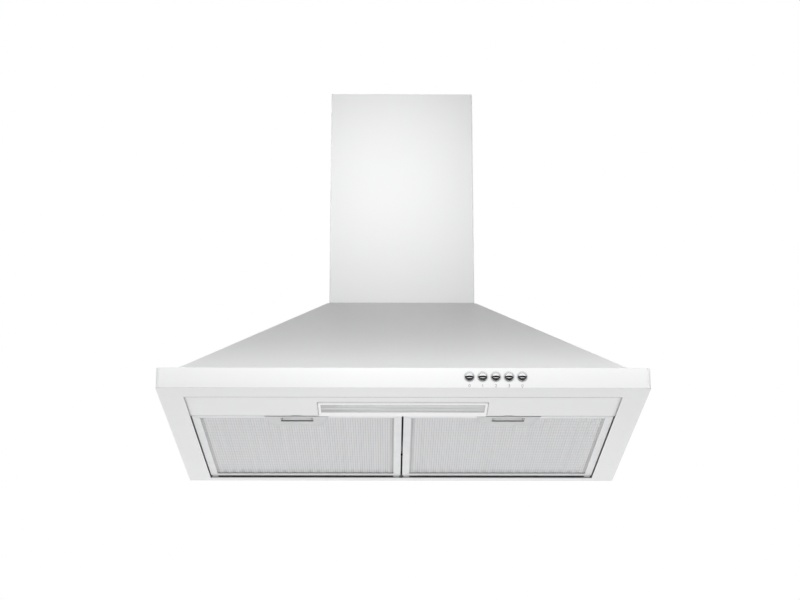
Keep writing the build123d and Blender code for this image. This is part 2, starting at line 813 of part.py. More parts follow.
# ---------------------------------------------------------- blower casing
# The scroll grows by equal steps from arc to arc, then runs straight up into the throat.
scroll_step = 6.7
scroll_radius = 83.25
throat_front = -140
throat_top = 212
nose_radius = 5
inlet_hole_radius = 57
flange_width = 8
flange_top = 198
blower_axis = Axis((0, blower_y, blower_z), (1, 0, 0))
scroll_arcs = [
    (blower_y - scroll_step / 2, blower_z - scroll_step / 2, scroll_radius),
    (blower_y + scroll_step / 2, blower_z - scroll_step / 2, scroll_radius + scroll_step),
    (blower_y + scroll_step / 2, blower_z + scroll_step / 2, scroll_radius + 2 * scroll_step),
]
throat_rear = scroll_arcs[2][0] + scroll_arcs[2][2]
nose_lift = sqrt(scroll_radius**2 - (throat_front - scroll_arcs[0][0]) ** 2)
nose_point = (throat_front, scroll_arcs[0][1] + nose_lift)

with BuildSketch() as scroll_inside:
    with BuildLine():
        first_y, first_z, first_r = scroll_arcs[0]
        low_front_y, low_front_z, low_front_r = scroll_arcs[1]
        low_rear_y, low_rear_z, low_rear_r = scroll_arcs[2]
        ThreePointArc(
            nose_point,
            (first_y + first_r * cos(radians(140)), first_z + first_r * sin(radians(140))),
            (first_y - first_r, first_z),
        )
        CenterArc((low_front_y, low_front_z), low_front_r, 180, 90)
        CenterArc((low_rear_y, low_rear_z), low_rear_r, 270, 90)
        throat_corner = (throat_rear, throat_top)
        Polyline((throat_rear, low_rear_z), throat_corner, (throat_front, throat_top), nose_point)
    make_face()
    fillet(scroll_inside.vertices().sort_by_distance((nose_point[0], nose_point[1], 0))[0], nose_radius)

with BuildSketch() as scroll_outside:
    add(scroll_inside.sketch)
    offset(amount=casing_sheet, kind=Kind.INTERSECTION)

with BuildSketch() as scroll_wall:
    add(scroll_outside.sketch)
    add(scroll_inside.sketch, mode=Mode.SUBTRACT)
    rect_between(throat_front, throat_rear, throat_top - 1, throat_top + 2, mode=Mode.SUBTRACT)

with BuildSketch() as scroll_flange:
    add(scroll_inside.sketch)
    offset(amount=casing_sheet + flange_width, kind=Kind.ARC)
    add(scroll_inside.sketch, mode=Mode.SUBTRACT)
    rect_between(-300, 0, flange_top, 260, mode=Mode.SUBTRACT)


def flange_point(angle):
    """Screw place on the middle of the casing's flange, at an angle from the rear."""
    y, z, r = scroll_arcs[int((angle - 90) // 90)]
    reach = r + casing_sheet + flange_width / 2
    return (y + reach * cos(radians(angle)), z + reach * sin(radians(angle)))


screw_places = [flange_point(angle) for angle in (135, 182, 228, 272, 318)]
screw_places.append((throat_rear + casing_sheet + flange_width / 2, 172))
bush_radius = 6
bush_circle = 70
bush_angles = (90, 210, 330)
bush_places = [
    (blower_y + bush_circle * cos(radians(angle)), blower_z + bush_circle * sin(radians(angle)))
    for angle in bush_angles
]


def casing_half(side, name):
    with BuildPart() as half:
        with BuildSketch(Plane.YZ.offset(side * casing_half_width)):
            add(scroll_outside.sketch)
            with Locations((blower_y, blower_z)):
                Circle(inlet_hole_radius, mode=Mode.SUBTRACT)
            if side < 0:
                with Locations(*bush_places):
                    Circle(2.1, mode=Mode.SUBTRACT)
        extrude(amount=-side * casing_sheet)
        with BuildSketch(Plane.YZ.offset(side * (casing_half_width - casing_sheet))):
            add(scroll_wall.sketch)
        extrude(amount=-side * (casing_half_width - casing_sheet))
        with BuildSketch(Plane.YZ):
            add(scroll_flange.sketch)
            with Locations(*screw_places):
                Circle(2.1, mode=Mode.SUBTRACT)
        extrude(amount=side * casing_sheet)
    half.part.label = name
    export_step(half.part, f"parts/{name}.step")


casing_half(-1, "casing_left")
casing_half(1, "casing_right")


def inlet_ring(side, name):
    """Bell mouth that leads the air from the side plate into the wheel."""
    flat = casing_half_width
    lip_end = wheel_half_length + 2
    bend_x = flat - 6
    bend_r = inlet_hole_radius - 0.2
    with BuildPart() as ring:
        with BuildSketch(Plane((0, blower_y, blower_z), x_dir=(side, 0, 0), z_dir=(0, -side, 0))):
            with BuildLine():
                Polyline((flat, bend_r), (flat, bend_r + 5), (flat + 1, bend_r + 5), (flat + 1, bend_r))
                CenterArc((bend_x, bend_r), 7, 0, -90)
                lip_r = bend_r - 6
                Polyline((bend_x, lip_r - 1), (lip_end, lip_r - 1), (lip_end, lip_r), (bend_x, lip_r))
                CenterArc((bend_x, bend_r), 6, -90, 90)
            make_face()
        revolve(axis=blower_axis)
    ring.part.label = name
    export_step(ring.part, f"parts/{name}.step")


inlet_ring(-1, "inlet_ring_left")
inlet_ring(1, "inlet_ring_right")

# ------------------------------------------------------------ blower wheel
# Squirrel cage of forward-curved blades between two end rings, on a middle disc and hub.
blade_inner_radius = 54.5
blade_outer_radius = 67.4
blade_sweep = 7.5
blade_thickness = 0.8
ring_thickness = 1.5
shaft_radius = 4
hub_radius = 11
disc_x = 3


def around_wheel(radius, angle):
    return (blower_y + radius * cos(radians(angle)), blower_z + radius * sin(radians(angle)))


with BuildPart() as impeller:
    with BuildSketch(Plane.YZ.offset(-wheel_half_length)):
        for i in range(blade_count):
            start = i * 360 / blade_count
            heel = around_wheel(blade_inner_radius, start)
            belly = around_wheel(61.5, start + blade_sweep * 0.18)
            tip = around_wheel(blade_outer_radius, start + blade_sweep)
            lean = degrees(blade_thickness / blade_outer_radius)
            with BuildLine():
                face_arc = ThreePointArc(heel, belly, tip)
                back_arc = ThreePointArc(
                    around_wheel(blade_outer_radius, start + blade_sweep - lean * 1.5),
                    around_wheel(61.5, start + blade_sweep * 0.18 - lean * 1.2),
                    around_wheel(blade_inner_radius, start - lean),
                )
                Line(face_arc @ 1, back_arc @ 0)
                Line(back_arc @ 1, face_arc @ 0)
            make_face()
    extrude(amount=2 * wheel_half_length)
    for ring_x in (-wheel_half_length, wheel_half_length - ring_thickness):
        with BuildSketch(Plane.YZ.offset(ring_x)):
            with Locations((blower_y, blower_z)):
                Circle(wheel_radius)
                Circle(blade_inner_radius - 0.5, mode=Mode.SUBTRACT)
        extrude(amount=ring_thickness)
    with BuildSketch(Plane.YZ.offset(disc_x)):
        with Locations((blower_y, blower_z)):
            Circle(wheel_radius)
    extrude(amount=ring_thickness)
    with BuildSketch(Plane.YZ.offset(disc_x - 3)):
        with Locations((blower_y, blower_z)):
            Circle(hub_radius)
    extrude(amount=15)
    with BuildSketch(Plane.YZ.offset(disc_x - 3)):
        with Locations((blower_y, blower_z)):
            Circle(shaft_radius)
    extrude(amount=15, mode=Mode.SUBTRACT)
impeller.part.label = "impeller"
export_step(impeller.part, "parts/impeller.step")

# ------------------------------------------------------------------ motor
motor_radius = 41
motor_rear = -66
motor_front = -10
boss_front = -4
shaft_start = -40
shaft_end = disc_x + 14

with BuildPart() as motor:
    with BuildSketch(Plane((0, blower_y, blower_z), x_dir=(1, 0, 0), z_dir=(0, -1, 0))):
        with BuildLine():
            Polyline(
                (motor_rear - 12, 0),
                (motor_rear - 12, 20),
                (motor_rear - 8, 28),
                (motor_rear, 31),
                (motor_rear, motor_radius),
                (motor_rear + 16, motor_radius),
                (motor_rear + 18, motor_radius - 2),
                (motor_front - 20, motor_radius - 2),
                (motor_front - 18, motor_radius),
                (motor_front - 6, motor_radius),
                (motor_front, motor_radius - 8),
                (motor_front, 13),
                (boss_front, 11),
                (boss_front, 0),
                close=True,
            )
        make_face()
    revolve(axis=blower_axis)
    with BuildSketch(Plane.YZ.offset(boss_front)):
        with Locations((blower_y, blower_z)):
            Circle(shaft_radius + 0.05)
    extrude(amount=shaft_start - boss_front - 1, mode=Mode.SUBTRACT)
    with BuildSketch(Plane.YZ.offset(motor_rear)):
        with Locations((blower_y, blower_z)):
            with PolarLocations(36, 3, start_angle=30):
                Circle(2.1)
    extrude(amount=8, mode=Mode.SUBTRACT)
motor.part.label = "motor"
export_step(motor.part, "parts/motor.step")

with BuildPart() as motor_shaft:
    with BuildSketch(Plane.YZ.offset(shaft_start)):
        with Locations((blower_y, blower_z)):
            Circle(shaft_radius)
    extrude(amount=shaft_end - shaft_start)
    chamfer(motor_shaft.edges().sort_by(Axis.X)[-1], 0.6)
motor_shaft.part.label = "motor_shaft"
export_step(motor_shaft.part, "parts/motor_shaft.step")

# A three-armed bracket on rubber bushes holds the motor in the left inlet.
bush_length = 4
bracket_thickness = 1.5
bracket_inner = -casing_half_width - bush_length

with BuildPart() as motor_bracket:
    with BuildSketch(Plane.YZ.offset(bracket_inner)):
        with Locations((blower_y, blower_z)):
            Circle(45)
            with PolarLocations(52, 3, start_angle=90):
                Rectangle(36, 15)
        with Locations(*bush_places):
            Circle(8)
        with Locations((blower_y, blower_z)):
            Circle(32, mode=Mode.SUBTRACT)
            with PolarLocations(36, 3, start_angle=30):
                Circle(2.1, mode=Mode.SUBTRACT)
        with Locations(*bush_places):
            Circle(2.1, mode=Mode.SUBTRACT)
    extrude(amount=-bracket_thickness)
motor_bracket.part.label = "motor_bracket"
export_step(motor_bracket.part, "parts/motor_bracket.step")

with BuildPart() as rubber_bushes:
    with BuildSketch(Plane.YZ.offset(bracket_inner)):
        with Locations(*bush_places):
            Circle(bush_radius)
            Circle(2.1, mode=Mode.SUBTRACT)
    extrude(amount=bush_length)
rubber_bushes.part.label = "rubber_bushes"
export_step(rubber_bushes.part, "parts/rubber_bushes.step")

# Two angle brackets carry the casing on the back panel.
bracket_web_places = [(-36, 90), (-36, 150)]


def bracket_foot_places(side):
    x = side * (casing_half_width + 17)
    return [(x, 85), (x, 155)]


def blower_bracket(side, name):
    web = side * casing_half_width
    with BuildPart() as bracket:
        with BuildSketch(Plane.XY.offset(70)):
            with BuildLine():
                Polyline(
                    (web, -46),
                    (web + side * 1.2, -46),
                    (web + side * 1.2, -2.2),
                    (web + side * 28, -2.2),
                    (web + side * 28, -sheet),
                    (web, -sheet),
                    close=True,
                )
            make_face()
        extrude(amount=100)
        with BuildSketch(Plane.XZ):
            with Locations(*bracket_foot_places(side)):
                Circle(2.1)
        extrude(amount=3, mode=Mode.SUBTRACT)
        with BuildSketch(Plane.YZ.offset(web)):
            with Locations(*bracket_web_places):
                Circle(2.1)
        extrude(amount=side * 2, mode=Mode.SUBTRACT)
    bracket.part.label = name
    export_step(bracket.part, f"parts/{name}.step")


blower_bracket(-1, "blower_bracket_left")
blower_bracket(1, "blower_bracket_right")

# -------------------------------------------------------------- air outlet
# A moulded adapter turns the square throat into the round spigot with its non-return flaps.
adapter_wall = 1.5
adapter_gap = 0.3
adapter_top = 238
socket_bottom = 203
throat_half_width = casing_half_width + adapter_gap
socket_front = throat_front - casing_sheet - adapter_gap
socket_rear = throat_rear + casing_sheet + adapter_gap
throat_step_z = throat_top + casing_sheet + 0.3

with BuildPart() as duct_adapter:
    with BuildSketch(Plane.XY.offset(socket_bottom)):
        rect_between(
            -throat_half_width - adapter_wall,
            throat_half_width + adapter_wall,
            socket_front - adapter_wall,
            socket_rear + adapter_wall,
        )
    extrude(amount=throat_step_z - socket_bottom)
    with BuildSketch(Plane.XY.offset(canopy_top)):
        rect_between(-78, 78, -158, -4)
        with Locations((gland_x, gland_y)):
            Circle(15, mode=Mode.SUBTRACT)
    extrude(amount=adapter_wall)
    with BuildSketch(Plane.XY.offset(throat_step_z)):
        rect_between(
            -throat_half_width - adapter_wall,
            throat_half_width + adapter_wall,
            socket_front - adapter_wall,
            socket_rear + adapter_wall,
        )
    with BuildSketch(Plane.XY.offset(adapter_top)):
        with Locations((0, duct_y)):
            Circle(duct_radius + 4)
    loft()
    with BuildSketch(Plane.XY.offset(socket_bottom)):
        rect_between(-throat_half_width, throat_half_width, socket_front, socket_rear)
    extrude(amount=throat_step_z - socket_bottom, mode=Mode.SUBTRACT)
    with BuildSketch(Plane.XY.offset(throat_step_z)):
        rect_between(-throat_half_width, throat_half_width, socket_front, socket_rear)
    with BuildSketch(Plane.XY.offset(adapter_top)):
        with Locations((0, duct_y)):
            Circle(duct_radius - adapter_wall)
    loft(mode=Mode.SUBTRACT)
duct_adapter.part.label = "duct_adapter"
export_step(duct_adapter.part, "parts/duct_adapter.step")

collar_top = 276
flap_z = 254
flap_pin_radius = 1.25
flap_radius = 57.8
flap_thickness = 1.2
ledge_top = flap_z - flap_thickness / 2 - 0.2

with BuildPart() as duct_collar:
    with BuildSketch(Plane.XY.offset(adapter_top)):
        with Locations((0, duct_y)):
            Circle(duct_radius + 4)
    extrude(amount=2)
    with BuildSketch(Plane.XY.offset(adapter_top)):
        with Locations((0, duct_y)):
            Circle(duct_radius)
    extrude(amount=collar_top - adapter_top)
    with BuildSketch(Plane.XY.offset(adapter_top)):
        with Locations((0, duct_y)):
            Circle(duct_radius - 3.5)
    extrude(amount=collar_top - adapter_top, mode=Mode.SUBTRACT)
    with BuildSketch(Plane.XY.offset(ledge_top)):
        with Locations((0, duct_y)):
            Circle(duct_radius - 1.5)
    extrude(amount=collar_top - ledge_top, mode=Mode.SUBTRACT)
    with BuildSketch(Plane.XY.offset(adapter_top)):
        with Locations((0, duct_y)):
            Circle(duct_radius - 1.5)
    extrude(amount=ledge_top - 2 - adapter_top, mode=Mode.SUBTRACT)
    with BuildSketch(Plane.YZ):
        with Locations((duct_y, flap_z)):
            Circle(flap_pin_radius)
    extrude(amount=duct_radius + 1, both=True, mode=Mode.SUBTRACT)
duct_collar.part.label = "duct_collar"
export_step(duct_collar.part, "parts/duct_collar.step")

with BuildPart() as flap_pin:
    with BuildSketch(Plane.YZ.offset(0.4 - duct_radius)):
        with Locations((duct_y, flap_z)):
            Circle(flap_pin_radius)
    extrude(amount=2 * duct_radius - 0.8)
flap_pin.part.label = "flap_pin"
export_step(flap_pin.part, "parts/flap_pin.step")


def duct_flap(side, barrels, name):
    """Half disc that hangs on the cross pin by its barrels; side is -1 in front, 1 behind."""
    barrel_radius = 3
    plate_start = barrel_radius + 0.4
    with BuildPart() as flap:
        with BuildSketch(Plane.XY.offset(flap_z - flap_thickness / 2)):
            with Locations((0, duct_y)):
                Circle(flap_radius)
            near = duct_y + side * plate_start
            far = duct_y - side * 70
            rect_between(-70, 70, min(near, far), max(near, far), mode=Mode.SUBTRACT)
        extrude(amount=flap_thickness)
        for start, end in barrels:
            with BuildSketch(Plane.YZ.offset(start)):
                with Locations((duct_y, flap_z)):
                    Circle(barrel_radius)
                reach = duct_y + side * (plate_start + 1)
                half_plate = flap_thickness / 2
                near, far = min(duct_y, reach), max(duct_y, reach)
                rect_between(near, far, flap_z - half_plate, flap_z + half_plate)
                with Locations((duct_y, flap_z)):
                    Circle(flap_pin_radius + 0.05, mode=Mode.SUBTRACT)
            extrude(amount=end - start)
    flap.part.label = name
    export_step(flap.part, f"parts/{name}.step")


duct_flap(-1, [(-45, -25), (5, 25)], "flap_front")
duct_flap(1, [(-24.5, 4.5), (25.5, 45)], "flap_rear")

# ---------------------------------------------------------- electrical parts
# Terminal box and capacitor on the back panel, and the lead's gland on the canopy's top flange.
box_x0 = 132
box_x1 = 192
box_z0 = 58
box_z1 = 102
box_front = -30
box_wall = 1.8

with BuildPart() as terminal_box:
    block_between(box_x0, box_x1, box_front, -sheet, box_z0, box_z1)
    fillet(terminal_box.edges().filter_by(Axis.Y), 4)
    block_between(
        box_x0 + box_wall,
        box_x1 - box_wall,
        box_front,
        -sheet - box_wall,
        box_z0 + box_wall,
        box_z1 - box_wall,
        mode=Mode.SUBTRACT,
    )
    with BuildSketch(Plane.YZ.offset(box_x0)):
        with Locations((-16, 70), (-16, 84)):
            Circle(3.5)
    extrude(amount=box_wall, mode=Mode.SUBTRACT)
terminal_box.part.label = "terminal_box"
export_step(terminal_box.part, "parts/terminal_box.step")

with BuildPart() as terminal_lid:
    block_between(box_x0 - 1, box_x1 + 1, box_front - 2, box_front, box_z0 - 1, box_z1 + 1)
    fillet(terminal_lid.edges().filter_by(Axis.Y), 4)
    fillet(terminal_lid.faces().sort_by(Axis.Y)[0].edges(), 0.8)
terminal_lid.part.label = "terminal_lid"
export_step(terminal_lid.part, "parts/terminal_lid.step")

capacitor_x = -190
capacitor_z = 84
capacitor_y = -19
capacitor_radius = 15

with BuildPart() as capacitor:
    with BuildSketch(Plane.YZ.offset(capacitor_x)):
        with Locations((capacitor_y, capacitor_z)):
            Circle(capacitor_radius)
    extrude(amount=58)
    fillet(capacitor.edges(), 1.5)
    for lug in (-4, 4):
        block_between(
            capacitor_x - 6,
            capacitor_x,
            capacitor_y + lug - 0.4,
            capacitor_y + lug + 0.4,
            capacitor_z - 3,
            capacitor_z + 3,
        )
capacitor.part.label = "capacitor"
export_step(capacitor.part, "parts/capacitor.step")

with BuildPart() as capacitor_clamp:
    with BuildSketch(Plane.YZ.offset(capacitor_x + 22)):
        with Locations((capacitor_y, capacitor_z)):
            Circle(capacitor_radius + 1)
        rect_between(-2.2, -sheet, capacitor_z - 24, capacitor_z + 24)
        rect_between(capacitor_y, -sheet, capacitor_z - 16, capacitor_z + 16)
        with Locations((capacitor_y, capacitor_z)):
            Circle(capacitor_radius + 0.05, mode=Mode.SUBTRACT)
        rect_between(capacitor_y, -2.2, capacitor_z - 15, capacitor_z + 15, mode=Mode.SUBTRACT)
    extrude(amount=14)
capacitor_clamp.part.label = "capacitor_clamp"
export_step(capacitor_clamp.part, "parts/capacitor_clamp.step")

gland_bore_radius = 4
with BuildPart() as cable_gland:
    with BuildSketch(Plane.XY.offset(canopy_top)):
        with Locations((gland_x, gland_y)):
            RegularPolygon(11, 6)
    extrude(amount=5)
    with BuildSketch(Plane.XY.offset(canopy_top + 5)):
        with Locations((gland_x, gland_y)):
            Circle(9)
    extrude(amount=9, taper=8)
    with BuildSketch(Plane.XY.offset(canopy_top)):
        with Locations((gland_x, gland_y)):
            Circle(gland_hole_radius - 0.1)
    extrude(amount=-10)
    with BuildSketch(Plane.XY.offset(canopy_top - sheet - 0.1)):
        with Locations((gland_x, gland_y)):
            RegularPolygon(11, 6)
    extrude(amount=-4)
    with BuildSketch(Plane.XY.offset(canopy_top - 10)):
        with Locations((gland_x, gland_y)):
            Circle(gland_bore_radius)
    extrude(amount=24, mode=Mode.SUBTRACT)
cable_gland.part.label = "cable_gland"
export_step(cable_gland.part, "parts/cable_gland.step")

# ------------------------------------------------------------------ leads
# Sheathed leads from the switches, motor and lamp to the terminal box, clipped inside the canopy.
switch_lead_radius = 2.2
inner_lead_radius = 1.5
lead_arc_share = 0.45
switch_lead = [
    (120, block_rear, 14),
    (123, -436, 15),
    (143, -421, 27),
    (178, -408, 41),
    (216, -393, 46),
    (245, -364, 48),
    (252, -320, 47),
    (249, -275, 49),
    (252, -228, 47),
    (248, -181, 50),
    (251, -134, 48),
    (248, -90, 49),
    (236, -52, 48),
    (204, -28, 46),
    (165, -20, 45),
    (131, -18, 45),
    (109, -17, 47),
    (98, -16.5, 57),
    (103, -16, 68),
    (119, -16, 70.5),
    (139, -16, 70),
]
motor_lead = [
    (-78, -128, 108),
    (-92, -126, 107),
    (-105, -111, 98),
    (-111, -87, 82),
    (-112, -60, 66),
    (-105, -35, 54),
    (-82, -19, 47),
    (-47, -12, 45),
    (-8, -10, 46),
    (30, -11, 44),
    (66, -10, 46),
    (90, -10, 53),
    (101, -10, 65),
    (106, -11, 77),
    (119, -15, 85),
    (139, -16, 85.6),
]
capacitor_lead = [
    (-78, -110, 130),
    (-93, -108, 131),
    (-113, -96, 126),
    (-139, -78, 116),
    (-168, -61, 104),
    (-193, -47, 94),
    (-207, -35, 87),
    (-207, -25, 84.5),
    (-196, -23, 84),
]
lamp_lead = [
    (-99, lamp_y, lamp_z + 2),
    (-121, -379, 20.5),
    (-152, -383, 30),
    (-188, -385, 42),
    (-226, -377, 47),
    (-247, -350, 48),
    (-252, -310, 47),
    (-249, -266, 49),
    (-252, -221, 47),
    (-248, -177, 50),
    (-251, -132, 48),
    (-248, -90, 49),
    (-236, -54, 46),
    (-204, -30, 42),
    (-166, -19, 39),
    (-128, -12, 37),
    (-88, -8, 36),
    (-48, -7, 37),
    (-8, -8, 36),
    (32, -7, 37),
    (62, -8, 36),
    (86, -7, 42),
    (96, -6, 54),
    (98, -7, 67),
    (102, -9, 76),
    (118, -14.5, 81.5),
    (139, -16, 82.4),
]
wall_slant = sqrt(1 + side_run**2)
clip_half = 4


def lead_radii(points):
    """Bend radii of a route, each as large as its two runs allow."""
    spots = [Vector(*p) for p in points]
    radii = []
    for before, corner, after in zip(spots, spots[1:], spots[2:]):
        turn = (corner - before).get_angle(after - corner)
        shorter = min((corner - before).length, (after - corner).length)
        radii.append(lead_arc_share * shorter / tan(radians(turn / 2)))
    return radii


def lead_tube(points, radius, name):
    radii = lead_radii(points)
    with BuildPart() as tube:
        with BuildLine() as route:
            FilletPolyline(*points, radius=radii)
        path = route.wires()[0]
        with BuildSketch(Plane(path @ 0, z_dir=path % 0)):
            Circle(radius)
        sweep(path=path)
    share = tube.part.volume / (pi * radius**2 * path.length)
    print(name, "length", round(path.length, 1), "volume share", round(share, 3))
    print("bend radii", [round(r) for r in radii])
    return tube.part


def lead_clip(x, y, z):
    """Saddle that holds a lead on the slanted side wall of the canopy."""
    side = 1 if x > 0 else -1
    gap = (canopy_half_width(z) - abs(x)) / wall_slant - sheet - 0.1
    with BuildPart() as clip:
        with BuildSketch(Plane((x, y, z), x_dir=(0, 1, 0), z_dir=(side, 0, side_run)).offset(-clip_half)):
            RectangleRounded(9, 2 * clip_half, 1)
        extrude(amount=clip_half + gap)
    return clip.part


with BuildPart() as wiring:
    add(lead_tube(switch_lead, switch_lead_radius, "switch lead"))
    add(lead_tube(motor_lead, inner_lead_radius, "motor lead"))
    add(lead_tube(capacitor_lead, inner_lead_radius, "capacitor lead"))
    add(lead_tube(lamp_lead, inner_lead_radius, "lamp lead"))
    for clip_place in switch_lead[6:12:2] + lamp_lead[6:12:2]:
        add(lead_clip(*clip_place))
wiring.part.label = "wiring"
export_step(wiring.part, "parts/wiring.step")

# ----------------------------------------------------------------- screws
# M4 screws: through the casing's flange with nuts, motor and bushes, brackets and chimney sides.
chimney_screw = (-chimney_depth / 2, canopy_top + 12)
shank_radius = 1.9
head_radius = 3.6
motor_circle = 36
bracket_face = bracket_inner - bracket_thickness

with BuildPart() as machine_screws:
    with BuildSketch(Plane.YZ.offset(-casing_sheet - 3)):
        with Locations(*screw_places):
            Circle(shank_radius)
    extrude(amount=2 * casing_sheet + 5)
    with BuildSketch(Plane.YZ.offset(-casing_sheet - 2.4)):
        with Locations(*screw_places):
            RegularPolygon(3.8, 6)
    extrude(amount=2.4)
    with BuildSketch(Plane.YZ.offset(casing_sheet)):
        with Locations(*screw_places):
            Circle(head_radius)
    extrude(amount=2.4)
    with BuildSketch(Plane.YZ.offset(bracket_face)):
        with Locations((blower_y, blower_z)):
            with PolarLocations(motor_circle, 3, start_angle=30):
                Circle(shank_radius)
    extrude(amount=8)
    with BuildSketch(Plane.YZ.offset(bracket_face)):
        with Locations(*bush_places):
            Circle(shank_radius)
    extrude(amount=bush_length + bracket_thickness + casing_sheet + 2)
    with BuildSketch(Plane.YZ.offset(bracket_face)):
        with Locations((blower_y, blower_z)):
            with PolarLocations(motor_circle, 3, start_angle=30):
                Circle(head_radius)
        with Locations(*bush_places):
            Circle(head_radius)
    extrude(amount=-2.4)
    for side in (-1, 1):
        web = side * casing_half_width
        with BuildSketch(Plane.XZ.offset(2.2)):
            with Locations(*bracket_foot_places(side)):
                Circle(head_radius)
        extrude(amount=2.2)
        with BuildSketch(Plane.YZ.offset(web + side * 1.2)):
            with Locations(*bracket_web_places):
                Circle(head_radius)
        extrude(amount=side * 2.2)
        with BuildSketch(Plane.YZ.offset(side * chimney_half_width)):
            with Locations(chimney_screw):
                Circle(head_radius)
        extrude(amount=side * 1.8)
        with BuildSketch(Plane.YZ.offset(side * chimney_half_width)):
            with Locations(chimney_screw):
                Circle(1.7)
        extrude(amount=-side * 4.5)
machine_screws.part.label = "machine_screws"
export_step(machine_screws.part, "parts/machine_screws.step")

print("parts written:", len(os.listdir("parts")))
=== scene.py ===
import math
import bmesh
import bpy
from mathutils import Matrix, Vector


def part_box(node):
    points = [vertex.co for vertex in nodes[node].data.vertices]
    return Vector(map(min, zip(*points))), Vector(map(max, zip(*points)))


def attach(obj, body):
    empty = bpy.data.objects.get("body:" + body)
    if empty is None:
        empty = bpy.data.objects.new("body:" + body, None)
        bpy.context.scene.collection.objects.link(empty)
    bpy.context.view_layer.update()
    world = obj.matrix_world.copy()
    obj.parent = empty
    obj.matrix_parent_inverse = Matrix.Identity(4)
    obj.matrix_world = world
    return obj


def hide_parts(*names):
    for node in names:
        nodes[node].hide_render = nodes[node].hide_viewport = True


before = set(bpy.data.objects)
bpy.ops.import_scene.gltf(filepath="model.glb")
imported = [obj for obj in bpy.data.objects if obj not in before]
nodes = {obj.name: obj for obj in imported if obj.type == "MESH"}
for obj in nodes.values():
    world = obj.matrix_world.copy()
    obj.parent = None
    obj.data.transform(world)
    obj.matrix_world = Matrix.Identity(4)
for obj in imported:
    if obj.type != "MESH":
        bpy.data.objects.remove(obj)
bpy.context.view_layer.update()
scene = bpy.context.scene
print("frame loaded,", len(nodes), "CAD pieces")

# The camera stands in front of the hood and well below it, looking up.
camera = {
    "place": (-0.0165, -2.9567, -0.7084),
    "pitch": 0.3198,  # radians above the horizon
    "yaw": 0.005,  # radians towards +X
    "lens": 95.8,
    "sensor": 36.0,
    "farthest": 50,
}

cameraData = bpy.data.cameras.new("photoCamera")
cameraData.lens = camera["lens"]
cameraData.sensor_width = camera["sensor"]
cameraData.clip_end = camera["farthest"]
cameraObject = bpy.data.objects.new("photoCamera", cameraData)
cameraObject.location = camera["place"]
cameraObject.rotation_euler = (math.pi / 2 + camera["pitch"], 0, -camera["yaw"])
scene.collection.objects.link(cameraObject)
scene.camera = cameraObject
scene.view_settings.view_transform = "Standard"
print("camera placed")


def setInputs(node, inputs):
    for name, value in inputs.items():
        node.inputs[name].default_value = value


def addNode(tree, kind, inputs=None, **settings):
    node = tree.nodes.new(kind)
    for name, value in settings.items():
        setattr(node, name, value)
    setInputs(node, inputs or {})
    return node


def newMaterial(name):
    material = bpy.data.materials.new(name)
    material.use_nodes = True
    tree = material.node_tree
    return material, tree, tree.nodes["Principled BSDF"]


def mathNode(tree, operation, first, second=None, clamp=False):
    node = addNode(tree, "ShaderNodeMath", operation=operation, use_clamp=clamp)
    for place, value in enumerate((first, second)):
        if isinstance(value, (int, float)):
            node.inputs[place].default_value = value
        elif value is not None:
            tree.links.new(value, node.inputs[place])
    return node.outputs[0]


def colourMix(tree, factor, low, high):
    node = addNode(tree, "ShaderNodeMix", data_type="RGBA")
    tree.links.new(factor, node.inputs[0])
    for place, value in ((6, low), (7, high)):
        if isinstance(value, tuple):
            node.inputs[place].default_value = (*value, 1)
        else:
            tree.links.new(value, node.inputs[place])
    return node.outputs[2]


def remap(tree, value, fromLow, fromHigh, toLow, toHigh):
    node = addNode(tree, "ShaderNodeMapRange", clamp=True)
    tree.links.new(value, node.inputs[0])
    for place, number in enumerate((fromLow, fromHigh, toLow, toHigh), start=1):
        node.inputs[place].default_value = number
    return node.outputs[0]


noiseSpan = (0.3, 0.7)  # most of a noise texture lies between these


def noiseTo(tree, noise, low, high):
    return remap(tree, noise, *noiseSpan, low, high)


# Floor, world and lamps. The floor lies below the camera, so the hood hangs in white space.
# One wide lamp lights only the floor, and the light that comes back up is most of the soft light.
studio = {
    "floorHeight": -1.75,
    "floorSize": 14.0,
    "floorColour": (0.80, 0.80, 0.80),
    "floorPaler": 1.03,  # how much lighter its pale patches are
    "floorPatches": 1.3,
    "floorRoughness": 0.9,
    "floorShine": 0.2,
    "ambient": 0.15,
    "ambientColour": (0.985, 0.99, 1.0),
}

# The strip over the band is two lamps, because one long lamp leaves a hard-edged patch on the chimney.
# A spread, in radians, narrows a beam to the chimney alone.
lamps = {
    "bandStripLeft": {
        "place": (-0.4, -0.72, 0.155), "aim": (-0.4, -0.4, 0.05), "size": (0.8, 0.06), "power": 1.18,
    },
    "bandStripRight": {
        "place": (0.4, -0.72, 0.155), "aim": (0.4, -0.4, 0.05), "size": (0.8, 0.06), "power": 1.36,
    },
    "underRear": {
        "place": (0.0, 0.6, -1.6), "aim": (0.0, -0.15, 0.0), "size": (2.4, 1.0), "power": 10.5,
    },
    "chimneyHigh": {
        "place": (-0.7, -3.0, 0.35), "aim": (-0.03, -0.17, 0.46), "size": (0.3, 0.3), "power": 0.125,
        "spread": 0.1745,
    },
    "chimneyLow": {
        "place": (-0.2, -3.0, -0.9), "aim": (-0.02, -0.17, 0.365), "size": (0.3, 0.3), "power": 0.125,
        "spread": 0.157,
    },
    "rearLeft": {
        "place": (-3.0, 1.4, 0.8), "aim": (0.0, -0.1, 0.3), "size": (1.6, 1.6), "power": 42,
    },
    "rearRight": {
        "place": (3.0, 1.4, 0.8), "aim": (0.0, -0.1, 0.3), "size": (1.6, 1.6), "power": 42,
    },
    "floorWash": {
        "place": (0.0, 0.0, -0.5), "aim": (0.0, 0.0001, -1.75), "size": (13.6, 13.6), "power": 400,
    },
}


